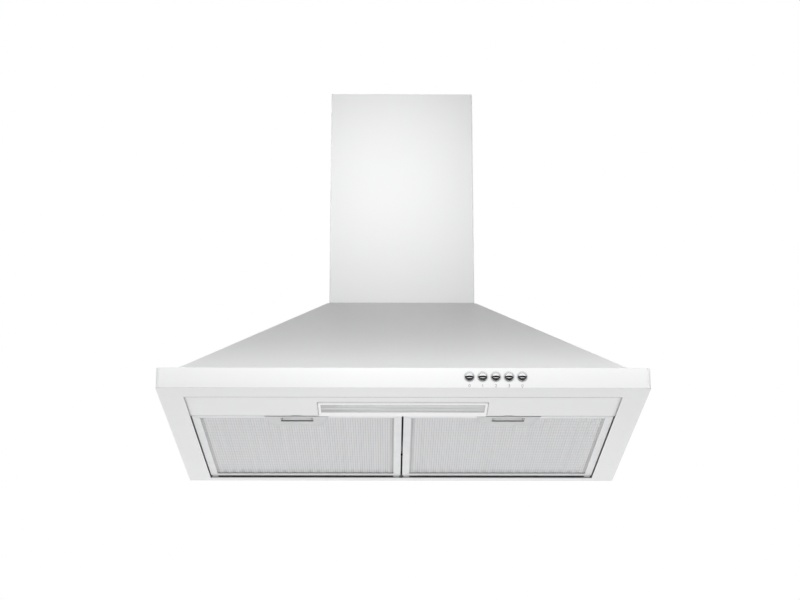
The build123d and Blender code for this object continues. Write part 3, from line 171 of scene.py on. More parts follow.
def addLamp(name, facts):
    data = bpy.data.lights.new(name, "AREA")
    data.shape = "RECTANGLE"
    data.size, data.size_y = facts["size"]
    data.energy = facts["power"]
    data.spread = facts.get("spread", math.pi)
    lamp = bpy.data.objects.new(name, data)
    lamp.location = facts["place"]
    towards = Vector(facts["aim"]) - Vector(facts["place"])
    lamp.rotation_euler = towards.to_track_quat("-Z", "Y").to_euler()
    lamp.visible_camera = False
    lamp.visible_glossy = False
    scene.collection.objects.link(lamp)


for lampName, lampFacts in lamps.items():
    addLamp(lampName, lampFacts)


def seenDirectly(tree):
    rays = addNode(tree, "ShaderNodeLightPath").outputs
    glossOrCamera = mathNode(tree, "MAXIMUM", rays["Is Camera Ray"], rays["Is Glossy Ray"])
    return mathNode(tree, "MAXIMUM", glossOrCamera, rays["Is Transmission Ray"])


def buildWorld():
    world = bpy.data.worlds.new("whiteSurround")
    scene.world = world
    world.use_nodes = True
    tree = world.node_tree
    tree.nodes.clear()
    soft = {"Color": (*studio["ambientColour"], 1), "Strength": studio["ambient"]}
    ambient = addNode(tree, "ShaderNodeBackground", soft)
    white = addNode(tree, "ShaderNodeBackground", {"Color": (1, 1, 1, 1), "Strength": 1.0})
    mix = addNode(tree, "ShaderNodeMixShader")
    out = addNode(tree, "ShaderNodeOutputWorld")
    tree.links.new(seenDirectly(tree), mix.inputs[0])
    tree.links.new(ambient.outputs[0], mix.inputs[1])
    tree.links.new(white.outputs[0], mix.inputs[2])
    tree.links.new(mix.outputs[0], out.inputs["Surface"])


def flatSheet(name, corners):
    mesh = bpy.data.meshes.new(name)
    mesh.from_pydata([tuple(c) for c in corners], [], [tuple(range(len(corners)))])
    sheet = bpy.data.objects.new(name, mesh)
    scene.collection.objects.link(sheet)
    return sheet


def buildFloor():
    half = studio["floorSize"] / 2
    low = studio["floorHeight"]
    corners = [(-half, -half, low), (half, -half, low), (half, half, low), (-half, half, low)]
    floor = flatSheet("floor", corners)
    material, tree, shader = newMaterial("paleFloor")
    finish = {"Roughness": studio["floorRoughness"], "Specular IOR Level": studio["floorShine"]}
    setInputs(shader, finish)
    coordinates = addNode(tree, "ShaderNodeTexCoord")
    patches = {"Scale": studio["floorPatches"], "Detail": 4.0}
    noise = addNode(tree, "ShaderNodeTexNoise", patches)
    tree.links.new(coordinates.outputs["Object"], noise.inputs["Vector"])
    pale = studio["floorColour"]
    paler = tuple(min(1, c * studio["floorPaler"]) for c in pale)
    tree.links.new(colourMix(tree, noise.outputs["Fac"], pale, paler), shader.inputs["Base Color"])
    floor.data.materials.append(material)


buildWorld()
buildFloor()

# Dark cards that only mirror rays meet: a curved one round the front, and a flat one just over the
# floor. They give the domed chrome its dark stripe and dark foot.
darkCards = {
    "colour": (0.01, 0.01, 0.01, 1),
    "radius": 4.0,
    "halfTurn": 130,  # degrees to each side
    "steps": 48,
    "low": -0.75,
    "high": 1.6,
    "overFloor": 0.03,
    "floorFront": -3.2,
    "floorRear": 2.0,
    "floorHalfWidth": 6.0,
}


def mirrorOnly(card, material):
    card.data.materials.append(material)
    for seenBy in ("camera", "diffuse", "transmission", "shadow", "volume_scatter"):
        setattr(card, "visible_" + seenBy, False)


def buildDarkCards():
    material, tree, shader = newMaterial("darkCard")
    setInputs(shader, {"Base Color": darkCards["colour"], "Roughness": 1.0})
    radius, steps = darkCards["radius"], darkCards["steps"]
    low, high = darkCards["low"], darkCards["high"]
    for k in range(steps):
        shares = [2 * (k + more) / steps - 1 for more in (0, 1)]
        turns = [math.radians(darkCards["halfTurn"] * share) for share in shares]
        (x0, y0), (x1, y1) = [(radius * math.sin(t), -radius * math.cos(t)) for t in turns]
        corners = [(x0, y0, low), (x1, y1, low), (x1, y1, high), (x0, y0, high)]
        mirrorOnly(flatSheet("darkCardHigh", corners), material)
    half, level = darkCards["floorHalfWidth"], studio["floorHeight"] + darkCards["overFloor"]
    front, rear = darkCards["floorFront"], darkCards["floorRear"]
    corners = [(x, y, level) for x, y in ((-half, front), (half, front), (half, rear), (-half, rear))]
    mirrorOnly(flatSheet("darkCardLow", corners), material)


buildDarkCards()
print("studio built")


# Shader groups shared by the materials.
def newGroup(name, inputs, outputs):
    group = bpy.data.node_groups.new(name, "ShaderNodeTree")
    kinds = {"value": "NodeSocketFloat", "colour": "NodeSocketColor", "vector": "NodeSocketVector"}
    for label, kind, default in inputs:
        socket = group.interface.new_socket(name=label, in_out="INPUT", socket_type=kinds[kind])
        socket.default_value = default
    for label, kind in outputs:
        group.interface.new_socket(name=label, in_out="OUTPUT", socket_type=kinds[kind])
    return group, group.nodes.new("NodeGroupInput"), group.nodes.new("NodeGroupOutput")


def placeOn(group):
    return addNode(group, "ShaderNodeTexCoord").outputs["Object"]


def buildCoatTexture():
    # Powder coat: fine orange peel, with a slow drift of tone and gloss.
    group, given, result = newGroup(
        "coatTexture",
        [("Peel Scale", "value", 700.0), ("Drift Scale", "value", 9.0)],
        [("Height", "value"), ("Drift", "value"), ("Gloss", "value")],
    )
    where = placeOn(group)
    peel = addNode(group, "ShaderNodeTexNoise", {"Detail": 2.0, "Roughness": 0.4})
    drift = addNode(group, "ShaderNodeTexNoise", {"Detail": 3.0, "Roughness": 0.5})
    gloss = addNode(group, "ShaderNodeTexNoise", {"Scale": 60.0, "Detail": 5.0, "Roughness": 0.6})
    for texture in (peel, drift, gloss):
        group.links.new(where, texture.inputs["Vector"])
    group.links.new(given.outputs["Peel Scale"], peel.inputs["Scale"])
    group.links.new(given.outputs["Drift Scale"], drift.inputs["Scale"])
    group.links.new(peel.outputs["Fac"], result.inputs["Height"])
    group.links.new(drift.outputs["Fac"], result.inputs["Drift"])
    group.links.new(gloss.outputs["Fac"], result.inputs["Gloss"])
    return group


def buildSoftEdge():
    # Rounds the look of folded edges, and gives a mask of them, which the materials use for a painted
    # edge highlight.
    group, given, result = newGroup(
        "softEdge",
        [("Radius", "value", 0.0006), ("Amount", "value", 2.5)],
        [("Normal", "vector"), ("Edge", "value")],
    )
    bevel = addNode(group, "ShaderNodeBevel", samples=4)
    group.links.new(given.outputs["Radius"], bevel.inputs["Radius"])
    geometry = addNode(group, "ShaderNodeNewGeometry")
    dot = addNode(group, "ShaderNodeVectorMath", operation="DOT_PRODUCT")
    group.links.new(bevel.outputs[0], dot.inputs[0])
    group.links.new(geometry.outputs["Normal"], dot.inputs[1])
    turned = mathNode(group, "SUBTRACT", 1.0, dot.outputs["Value"])
    edge = mathNode(group, "MULTIPLY", turned, given.outputs["Amount"], clamp=True)
    group.links.new(bevel.outputs[0], result.inputs["Normal"])
    group.links.new(edge, result.inputs["Edge"])
    return group


def buildSpangle():
    # Zinc crystals of galvanised sheet: each cell has its own tone and gloss.
    group, given, result = newGroup(
        "zincSpangle",
        [("Scale", "value", 110.0)],
        [("Tone", "value"), ("Seam", "value"), ("Fine", "value")],
    )
    wander = 0.004  # how far the border of a crystal strays
    seamReach = 0.06
    where = placeOn(group)
    warp = addNode(group, "ShaderNodeTexNoise", {"Scale": 90.0, "Detail": 3.0})
    group.links.new(where, warp.inputs["Vector"])
    push = addNode(group, "ShaderNodeVectorMath", operation="MULTIPLY_ADD")
    push.inputs[1].default_value = (wander, wander, wander)
    group.links.new(warp.outputs["Color"], push.inputs[0])
    group.links.new(where, push.inputs[2])
    cells = addNode(group, "ShaderNodeTexVoronoi")
    seams = addNode(group, "ShaderNodeTexVoronoi", feature="DISTANCE_TO_EDGE")
    fine = addNode(group, "ShaderNodeTexNoise", {"Scale": 1500.0, "Detail": 3.0})
    for texture in (cells, seams):
        group.links.new(push.outputs[0], texture.inputs["Vector"])
        group.links.new(given.outputs["Scale"], texture.inputs["Scale"])
    group.links.new(where, fine.inputs["Vector"])
    grey = addNode(group, "ShaderNodeSeparateColor")
    group.links.new(cells.outputs["Color"], grey.inputs[0])
    group.links.new(grey.outputs[0], result.inputs["Tone"])
    seam = remap(group, seams.outputs["Distance"], 0.0, seamReach, 1.0, 0.0)
    group.links.new(seam, result.inputs["Seam"])
    group.links.new(fine.outputs["Fac"], result.inputs["Fine"])
    return group


def buildBrushing():
    # Fine lines of rolled or brushed metal, along one axis of the piece.
    group, given, result = newGroup(
        "brushedLines",
        [("Stretch", "vector", (1500.0, 30.0, 1500.0)), ("Stain Scale", "value", 25.0)],
        [("Lines", "value"), ("Stain", "value")],
    )
    where = placeOn(group)
    scaled = addNode(group, "ShaderNodeVectorMath", operation="MULTIPLY")
    group.links.new(where, scaled.inputs[0])
    group.links.new(given.outputs["Stretch"], scaled.inputs[1])
    lines = addNode(group, "ShaderNodeTexNoise", {"Scale": 1.0, "Detail": 4.0, "Roughness": 0.6})
    group.links.new(scaled.outputs[0], lines.inputs["Vector"])
    stain = addNode(group, "ShaderNodeTexNoise", {"Detail": 5.0, "Roughness": 0.55})
    group.links.new(where, stain.inputs["Vector"])
    group.links.new(given.outputs["Stain Scale"], stain.inputs["Scale"])
    group.links.new(lines.outputs["Fac"], result.inputs["Lines"])
    group.links.new(stain.outputs["Fac"], result.inputs["Stain"])
    return group


def buildMouldGrain():
    # The fine sparked grain of a moulding tool.
    group, given, result = newGroup(
        "mouldGrain",
        [("Grain Scale", "value", 1100.0)],
        [("Height", "value"), ("Patch", "value")],
    )
    where = placeOn(group)
    grain = addNode(group, "ShaderNodeTexVoronoi", feature="SMOOTH_F1")
    patch = addNode(group, "ShaderNodeTexNoise", {"Scale": 18.0, "Detail": 4.0})
    group.links.new(where, grain.inputs["Vector"])
    group.links.new(where, patch.inputs["Vector"])
    group.links.new(given.outputs["Grain Scale"], grain.inputs["Scale"])
    group.links.new(grain.outputs["Distance"], result.inputs["Height"])
    group.links.new(patch.outputs["Fac"], result.inputs["Patch"])
    return group


def buildKnitWeave():
    # Crossed wires of the mesh layers inside a filter, seen as ridges and holes; the material paints
    # shade into the holes.
    group, given, result = newGroup(
        "knitWeave",
        [("Wire Scale", "value", 420.0)],
        [("Height", "value"), ("Hole", "value")],
    )
    wireTurn = 0.6  # radians to each side
    holeSpan = (0.35, 0.75)
    where = placeOn(group)
    waves = []
    for turn in (wireTurn, -wireTurn):
        mapping = addNode(group, "ShaderNodeMapping", {"Rotation": (0, 0, turn)})
        group.links.new(where, mapping.inputs["Vector"])
        wave = addNode(group, "ShaderNodeTexWave", {"Distortion": 1.2, "Detail": 1.0})
        group.links.new(mapping.outputs[0], wave.inputs["Vector"])
        group.links.new(given.outputs["Wire Scale"], wave.inputs["Scale"])
        waves.append(wave.outputs["Fac"])
    height = mathNode(group, "MAXIMUM", *waves)
    group.links.new(height, result.inputs["Height"])
    group.links.new(remap(group, height, *holeSpan, 1.0, 0.0), result.inputs["Hole"])
    return group


def buildCrimpedRows():
    # Painted shade of crimped layers: furrows that run from front to back are painted darker than the
    # ridges between them.
    group, given, result = newGroup(
        "crimpedRows", [("Pitch", "value", 0.0032)], [("Furrow", "value")],
    )
    furrowSpan = (-0.2, 0.9)  # part of the wave from ridge to furrow
    axes = addNode(group, "ShaderNodeSeparateXYZ")
    group.links.new(placeOn(group), axes.inputs[0])
    outward = mathNode(group, "ABSOLUTE", axes.outputs["X"])
    turns = mathNode(group, "DIVIDE", outward, given.outputs["Pitch"])
    wave = mathNode(group, "COSINE", mathNode(group, "MULTIPLY", turns, 2 * math.pi))
    group.links.new(remap(group, wave, *furrowSpan, 0.0, 1.0), result.inputs["Furrow"])
    return group


def buildCavity():
    # Painted shade: darkens the narrow corner where one sheet lies just above another.
    group, given, result = newGroup(
        "cavityShade", [("Reach", "value", 0.004)], [("Shade", "value")],
    )
    openSpan = (0.5, 0.95)  # share of open air from full shade to none
    near = addNode(group, "ShaderNodeAmbientOcclusion", samples=8)
    group.links.new(given.outputs["Reach"], near.inputs["Distance"])
    group.links.new(remap(group, near.outputs["AO"], *openSpan, 1.0, 0.0), result.inputs["Shade"])
    return group


coatTexture = buildCoatTexture()
softEdge = buildSoftEdge()
zincSpangle = buildSpangle()
brushedLines = buildBrushing()
mouldGrain = buildMouldGrain()
knitWeave = buildKnitWeave()
crimpedRows = buildCrimpedRows()
cavityShade = buildCavity()
print("shader groups built")


# Values that several materials share.
bumpDepths = {"peel": 0.0004, "fine": 0.0002, "weave": 0.0005, "ink": 0.0001}
# Painted edge highlight: how strongly folded edges lighten, for metal and for plastic.
edgeHighlight = {"amount": 3.0, "metalMix": 0.5, "plasticMix": 0.4}
meshPitch = 0.0032  # from one crimped row of a filter to the next, along X


def useGroup(tree, group, inputs):
    return addNode(tree, "ShaderNodeGroup", inputs, node_tree=group)


# Painted highlight: mixes folded edges towards a lighter edge colour.
def highlightEdges(tree, look, colour, mix):
    amount = look.get("edgeAmount", edgeHighlight["amount"])
    edge = useGroup(tree, softEdge, {"Radius": look["edgeRadius"], "Amount": amount})
    edgeLit = mathNode(tree, "MULTIPLY", edge.outputs["Edge"], mix)
    return colourMix(tree, edgeLit, colour, look["edgeColour"]), edge.outputs["Normal"]


def bumpInto(tree, shader, height, strength, distance, normal=None):
    bump = addNode(tree, "ShaderNodeBump", {"Strength": strength, "Distance": distance})
    tree.links.new(height, bump.inputs["Height"])
    if normal is not None:
        tree.links.new(normal, bump.inputs["Normal"])
    tree.links.new(bump.outputs[0], shader.inputs["Normal"])


def coatedSteel(name, look):
    material, tree, shader = newMaterial(name)
    coat = useGroup(tree, coatTexture, {"Peel Scale": look["peelScale"]})
    drifted = colourMix(tree, coat.outputs["Drift"], look["dark"], look["light"])
    # Painted edge highlight.
    coated, normal = highlightEdges(tree, look, drifted, look["edgeMix"])
    # Painted shade: a dark colour mixed into narrow corners.
    cavity = useGroup(tree, cavityShade, {"Reach": look["cavityReach"]})
    shaded = mathNode(tree, "MULTIPLY", cavity.outputs["Shade"], look["cavityMix"])
    toned = colourMix(tree, shaded, coated, look["cavityShadeColour"])
    tree.links.new(toned, shader.inputs["Base Color"])
    gloss = noiseTo(tree, coat.outputs["Gloss"], *look["roughness"])
    tree.links.new(gloss, shader.inputs["Roughness"])
    bumpInto(tree, shader, coat.outputs["Height"], look["peel"], bumpDepths["peel"], normal)
    return material


whiteEnamel = coatedSteel(
    "whiteEnamel",
    {
        "dark": (0.800, 0.802, 0.806),
        "light": (0.826, 0.828, 0.831),
        "edgeColour": (0.86, 0.86, 0.86),
        "edgeMix": 0.6,
        "edgeRadius": 0.0007,
        "edgeAmount": 2.5,
        # Painted shade: near black in narrow corners, such as the gap where the lamp panel meets the rim.
        "cavityShadeColour": (0.06, 0.06, 0.062),
        "cavityReach": 0.0022,
        "cavityMix": 1.0,
        "roughness": (0.36, 0.46),
        "peelScale": 750.0,
        "peel": 0.10,
    },
)
motorEnamel = coatedSteel(
    "motorEnamel",
    {
        "dark": (0.045, 0.048, 0.052),
        "light": (0.070, 0.073, 0.078),
        "edgeColour": (0.20, 0.20, 0.21),
        "edgeMix": 0.5,
        "edgeRadius": 0.0008,
        "edgeAmount": 3.0,
        # Painted shade in the motor's narrow corners.
        "cavityShadeColour": (0.02, 0.02, 0.02),
        "cavityReach": 0.006,
        "cavityMix": 0.6,
        "roughness": (0.42, 0.58),
        "peelScale": 500.0,
        "peel": 0.35,
    },
)


def zincSheet(name, look):
    material, tree, shader = newMaterial(name)
    shader.inputs["Metallic"].default_value = 1.0
    spangle = useGroup(tree, zincSpangle, {"Scale": look["cellScale"]})
    tone = colourMix(tree, spangle.outputs["Tone"], look["dark"], look["light"])
    seam = mathNode(tree, "MULTIPLY", spangle.outputs["Seam"], look["seamMix"])
    # Painted edge highlight.
    edgeLit, normal = highlightEdges(tree, look, colourMix(tree, seam, tone, look["seam"]), edgeHighlight["metalMix"])
    tree.links.new(edgeLit, shader.inputs["Base Color"])
    gloss = remap(tree, spangle.outputs["Tone"], 0.0, 1.0, *look["roughness"])
    tree.links.new(gloss, shader.inputs["Roughness"])
    bumpInto(tree, shader, spangle.outputs["Fine"], look["fineBump"], bumpDepths["fine"], normal)
    return material


galvanisedSheet = zincSheet(
    "galvanisedSheet",
    {
        "cellScale": 110.0,
        "dark": (0.50, 0.51, 0.53),
        "light": (0.68, 0.69, 0.71),
        "seam": (0.44, 0.45, 0.47),
        "seamMix": 0.4,
        "edgeColour": (0.78, 0.79, 0.80),
        "edgeRadius": 0.0004,
        "roughness": (0.30, 0.48),
        "fineBump": 0.08,
    },
)


stainSpan = (0.35, 0.7)


def rolledMetal(name, look):
    material, tree, shader = newMaterial(name)
    shader.inputs["Metallic"].default_value = look.get("metallic", 1.0)
    drawn = {"Stretch": look["stretch"], "Stain Scale": look["stainScale"]}
    brushed = useGroup(tree, brushedLines, drawn)
    stain = remap(tree, brushed.outputs["Stain"], *stainSpan, 0, 1)
    stained = colourMix(tree, stain, look["dark"], look["light"])
    # Painted edge highlight.
    toned, normal = highlightEdges(tree, look, stained, edgeHighlight["metalMix"])
    # Painted shade: darker furrows between crimped rows, where a look asks for it.
    if "rowPitch" in look:
        rows = useGroup(tree, crimpedRows, {"Pitch": look["rowPitch"]})
        toned = colourMix(tree, rows.outputs["Furrow"], toned, look["furrowShadeColour"])
    tree.links.new(toned, shader.inputs["Base Color"])
    gloss = noiseTo(tree, brushed.outputs["Lines"], *look["roughness"])
    tree.links.new(gloss, shader.inputs["Roughness"])
    bumpInto(tree, shader, brushed.outputs["Lines"], look["lineBump"], bumpDepths["fine"], normal)
    return material


frameAluminium = rolledMetal(
    "frameAluminium",
    {
        "metallic": 0.3,
        "dark": (0.82, 0.825, 0.83),
        "light": (0.88, 0.885, 0.89),
        "edgeColour": (0.95, 0.95, 0.95),
        "stretch": (1400.0, 40.0, 1400.0),
        "stainScale": 30.0,
        "edgeRadius": 0.0003,
        "roughness": (0.30, 0.44),
        "lineBump": 0.12,
    },
)
plateAluminium = rolledMetal(
    "plateAluminium",
    {
        "metallic": 0.3,
        "dark": (0.63, 0.635, 0.64),
        "light": (0.69, 0.695, 0.70),
        "edgeColour": (0.80, 0.80, 0.80),
        "stretch": (40.0, 1400.0, 1400.0),
        "stainScale": 45.0,
        "edgeRadius": 0.0003,
        "roughness": (0.28, 0.40),
        "lineBump": 0.12,
    },
)
strandAluminium = rolledMetal(
    "strandAluminium",
    {
        "metallic": 0.0,
        "dark": (0.94, 0.945, 0.95),
        "light": (0.97, 0.975, 0.98),
        "edgeColour": (0.97, 0.97, 0.97),
        "stretch": (900.0, 900.0, 900.0),
        "stainScale": 60.0,
        "edgeRadius": 0.0001,
        "roughness": (0.26, 0.42),
        "lineBump": 0.10,
        "rowPitch": meshPitch,
        # Painted shade of the furrows between crimped rows.
        "furrowShadeColour": (0.74, 0.74, 0.75),
    },
)
zincSteel = rolledMetal(
    "zincSteel",
    {
        "dark": (0.52, 0.52, 0.51),
        "light": (0.64, 0.64, 0.63),
        "edgeColour": (0.80, 0.80, 0.79),
        "stretch": (1200.0, 1200.0, 1200.0),
        "stainScale": 160.0,
        "edgeRadius": 0.0003,
        "roughness": (0.22, 0.36),
        "lineBump": 0.08,
    },
)
springSteel = rolledMetal(
    "springSteel",
    {
        "dark": (0.36, 0.37, 0.39),
        "light": (0.47, 0.48, 0.50),
        "edgeColour": (0.66, 0.66, 0.67),
        "stretch": (60.0, 1500.0, 1500.0),
        "stainScale": 120.0,
        "edgeRadius": 0.0002,
        "roughness": (0.24, 0.36),
        "lineBump": 0.10,
    },
)
brightChrome = rolledMetal(
    "brightChrome",
    {
        "dark": (0.86, 0.865, 0.875),
        "light": (0.90, 0.905, 0.91),
        "edgeColour": (0.95, 0.95, 0.96),
        "stretch": (700.0, 700.0, 700.0),
        "stainScale": 200.0,
        "edgeRadius": 0.0002,
        "roughness": (0.015, 0.04),
        "lineBump": 0.008,
    },
)


def mouldedPlastic(name, look):
    material, tree, shader = newMaterial(name)
    if "coat" in look:
        setInputs(shader, {"Coat Weight": look["coat"], "Coat Roughness": look["coatRoughness"]})
    grain = useGroup(tree, mouldGrain, {"Grain Scale": look["grainScale"]})
    patched = colourMix(tree, grain.outputs["Patch"], look["dark"], look["light"])
    # Painted edge highlight.
    toned, normal = highlightEdges(tree, look, patched, edgeHighlight["plasticMix"])
    # Painted shade in narrow corners, where a look asks for it.
    if "cavityReach" in look:
        cavity = useGroup(tree, cavityShade, {"Reach": look["cavityReach"]})
        toned = colourMix(tree, cavity.outputs["Shade"], toned, look["cavityShadeColour"])
    tree.links.new(toned, shader.inputs["Base Color"])
    gloss = noiseTo(tree, grain.outputs["Patch"], *look["roughness"])
    tree.links.new(gloss, shader.inputs["Roughness"])
    bumpInto(tree, shader, grain.outputs["Height"], look["grain"], bumpDepths["fine"], normal)
    return material


blackPlastic = mouldedPlastic(
    "blackPlastic",
    {
        "dark": (0.018, 0.018, 0.020),
        "light": (0.030, 0.030, 0.032),
        "edgeColour": (0.08, 0.08, 0.08),
        "grainScale": 1100.0,
        "edgeRadius": 0.0004,
        "roughness": (0.42, 0.56),
        "grain": 0.25,
    },
)
greyPlastic = mouldedPlastic(
    "greyPlastic",
    {
        "dark": (0.20, 0.205, 0.21),
        "light": (0.25, 0.255, 0.26),
        "edgeColour": (0.36, 0.36, 0.37),
        "grainScale": 1000.0,
        "edgeRadius": 0.0004,
        "roughness": (0.40, 0.52),
        "grain": 0.18,
    },
)
slideGrey = mouldedPlastic(
    "slideGrey",
    {
        "dark": (0.80, 0.80, 0.805),
        "light": (0.86, 0.86, 0.865),
        "edgeColour": (0.88, 0.88, 0.88),
        # Painted shade: a dark outline in the latch slot round the slider.
        "cavityShadeColour": (0.16, 0.16, 0.165),
        "cavityReach": 0.0018,
        "grainScale": 1300.0,
        "edgeRadius": 0.0003,
        "roughness": (0.36, 0.48),
        "grain": 0.12,
    },
)
whitePlastic = mouldedPlastic(
    "whitePlastic",
    {
        "dark": (0.77, 0.775, 0.775),
        "light": (0.81, 0.815, 0.815),
        "edgeColour": (0.86, 0.86, 0.86),
        "grainScale": 1400.0,
        "edgeRadius": 0.0004,
        "roughness": (0.30, 0.42),
        "grain": 0.06,
    },
)
brightPlastic = mouldedPlastic(
    "brightPlastic",
    {
        "dark": (0.90, 0.90, 0.90),
        "light": (0.93, 0.93, 0.93),
        "edgeColour": (0.95, 0.95, 0.95),
        "grainScale": 1400.0,
        "edgeRadius": 0.0004,
        "roughness": (0.28, 0.38),
        "grain": 0.05,
    },
)
blackRubber = mouldedPlastic(
    "blackRubber",
    {
        "dark": (0.016, 0.016, 0.016),
        "light": (0.032, 0.032, 0.032),
        "edgeColour": (0.06, 0.06, 0.06),
        "grainScale": 800.0,
        "edgeRadius": 0.0005,
        "roughness": (0.68, 0.85),
        "grain": 0.4,
    },
)
opalGlass = mouldedPlastic(
    "opalGlass",
    {
        "dark": (0.86, 0.865, 0.86),
        "light": (0.90, 0.905, 0.90),
        "edgeColour": (0.93, 0.93, 0.93),
        "grainScale": 300.0,
        "edgeRadius": 0.0002,
        "roughness": (0.16, 0.24),
        "grain": 0.01,
        "coat": 0.6,
        "coatRoughness": 0.12,
    },
)


lensLook = {
    "index": 1.49,
    "grainScale": 500.0,
    "grain": 0.03,
    "roughness": (0.04, 0.10),
    "stretch": (7.0, 420.0, 420.0),  # long streaks along X
    "streakSpan": (0.40, 0.60),
    "dark": (0.66, 0.665, 0.665),
    "light": (0.97, 0.975, 0.975),
    "clear": (0.97, 0.975, 0.975, 1),
    "clearShare": 0.5,
}


def buildClearPlastic():
    # Clear plastic with painted streaks of light and shade along X, which stand in for the look of its
    # ribs. Light passes it freely, so that the lamp behind it isn't in the dark.
    look = lensLook
    material, tree, shader = newMaterial("clearPlastic")
    setInputs(shader, {"Metallic": 0.0, "Transmission Weight": 0.0, "IOR": look["index"]})
    grain = useGroup(tree, mouldGrain, {"Grain Scale": look["grainScale"]})
    gloss = noiseTo(tree, grain.outputs["Patch"], *look["roughness"])
    tree.links.new(gloss, shader.inputs["Roughness"])
    bumpInto(tree, shader, grain.outputs["Height"], look["grain"], bumpDepths["fine"])
    # Painted light and shade: streaks along X that stand in for the look of the lens's ribs.
    drawn = useGroup(tree, brushedLines, {"Stretch": look["stretch"]})
    streak = remap(tree, drawn.outputs["Lines"], *look["streakSpan"], 0.0, 1.0)
    tree.links.new(colourMix(tree, streak, look["dark"], look["light"]), shader.inputs["Base Color"])
    clear = addNode(tree, "ShaderNodeBsdfTransparent", {"Color": look["clear"]})
    rays = addNode(tree, "ShaderNodeLightPath").outputs
    lightRay = mathNode(tree, "MAXIMUM", rays["Is Shadow Ray"], rays["Is Diffuse Ray"])
    mix = addNode(tree, "ShaderNodeMixShader")
    tree.links.new(mathNode(tree, "MAXIMUM", lightRay, look["clearShare"]), mix.inputs[0])
    tree.links.new(shader.outputs[0], mix.inputs[1])
    tree.links.new(clear.outputs[0], mix.inputs[2])
    tree.links.new(mix.outputs[0], tree.nodes["Material Output"].inputs["Surface"])
    return material


coreLook = {
    "roughness": 0.42,
    "wireScale": 420.0,
    "stainScale": 40.0,
    "dark": (0.95, 0.955, 0.96),
    "light": (0.97, 0.975, 0.98),
    # Painted shade of the holes between the wires.
    "hole": (0.92, 0.92, 0.93),
    # Painted shade of the furrows between crimped rows.
    "furrow": (0.84, 0.84, 0.85),
    "weave": 0.5,
}


def buildLayeredMesh():
    # Stacked fine mesh of the pleated filter core, with painted shade in its holes and furrows.
    look = coreLook
    material, tree, shader = newMaterial("layeredMesh")
    setInputs(shader, {"Metallic": 0.0, "Roughness": look["roughness"]})
    weave = useGroup(tree, knitWeave, {"Wire Scale": look["wireScale"]})
    stain = useGroup(tree, brushedLines, {"Stain Scale": look["stainScale"]})
    rows = useGroup(tree, crimpedRows, {"Pitch": meshPitch})
    toned = colourMix(tree, stain.outputs["Stain"], look["dark"], look["light"])
    woven = colourMix(tree, weave.outputs["Hole"], toned, look["hole"])
    crimped = colourMix(tree, rows.outputs["Furrow"], woven, look["furrow"])
    tree.links.new(crimped, shader.inputs["Base Color"])
    bumpInto(tree, shader, weave.outputs["Height"], look["weave"], bumpDepths["weave"])
    return material


clearPlastic = buildClearPlastic()
layeredMesh = buildLayeredMesh()


def dress(material, *names):
    for name in names:
        for slot in nodes[name].material_slots:
            slot.material = material


dress(whiteEnamel, "base_frame", "canopy_shell", "chimney_cover", "chimney_extension", "lamp_panel")
dress(
    galvanisedSheet,
    "back_panel", "chimney_clips", "rear_rail", "casing_left", "casing_right",
    "inlet_ring_left", "inlet_ring_right", "motor_bracket", "blower_bracket_left",
    "blower_bracket_right", "capacitor_clamp",
)
dress(brightPlastic, "lamp_cover", "lamp_tray")
dress(whitePlastic, "lamp_base", "terminal_box", "terminal_lid", "capacitor")
dress(clearPlastic, "lamp_lens")
dress(opalGlass, "lamp_tube")
dress(blackPlastic, "lamp_holder", "switch_block", "duct_adapter", "duct_collar", "cable_gland")
dress(greyPlastic, "impeller", "flap_front", "flap_rear")
dress(springSteel, "lamp_clip")
dress(zincSteel, "filter_rod", "motor_shaft", "flap_pin", "machine_screws")
dress(motorEnamel, "motor")
dress(blackRubber, "rubber_bushes", "wiring")
dress(
    brightChrome,
    "button_bezels", "button_off", "button_speed_1", "button_speed_2", "button_speed_3",
    "button_light",
)
for side in ("left", "right"):
    dress(frameAluminium, "filter_frame_" + side)
    dress(plateAluminium, "latch_plate_" + side)
    dress(slideGrey, "latch_slider_" + side, "latch_housing_" + side)
    dress(springSteel, "latch_spring_" + side)
    dress(layeredMesh, "filter_core_" + side)
print("CAD pieces dressed")

# Expanded aluminium mesh: rows of diamonds whose strands lean, cut to the filter's frame and latch.
meshFace = {
    "shortWay": meshPitch,  # pitch across a diamond, along X
    "longWay": 0.0144,  # pitch along a diamond, along Y
    "halfStrand": 0.0004,
    "halfJoint": 0.0013,
    "thickness": 0.0003,
    "lean": 0.00012,
    "crimp": 0.00022,  # neighbouring columns of joints lie this far above and below the middle
    "latchHalfWidth": 0.0302,
    "latchDepth": 0.0420,
    "cutReach": 1e-7,  # a corner this near to a cut lies on it
}


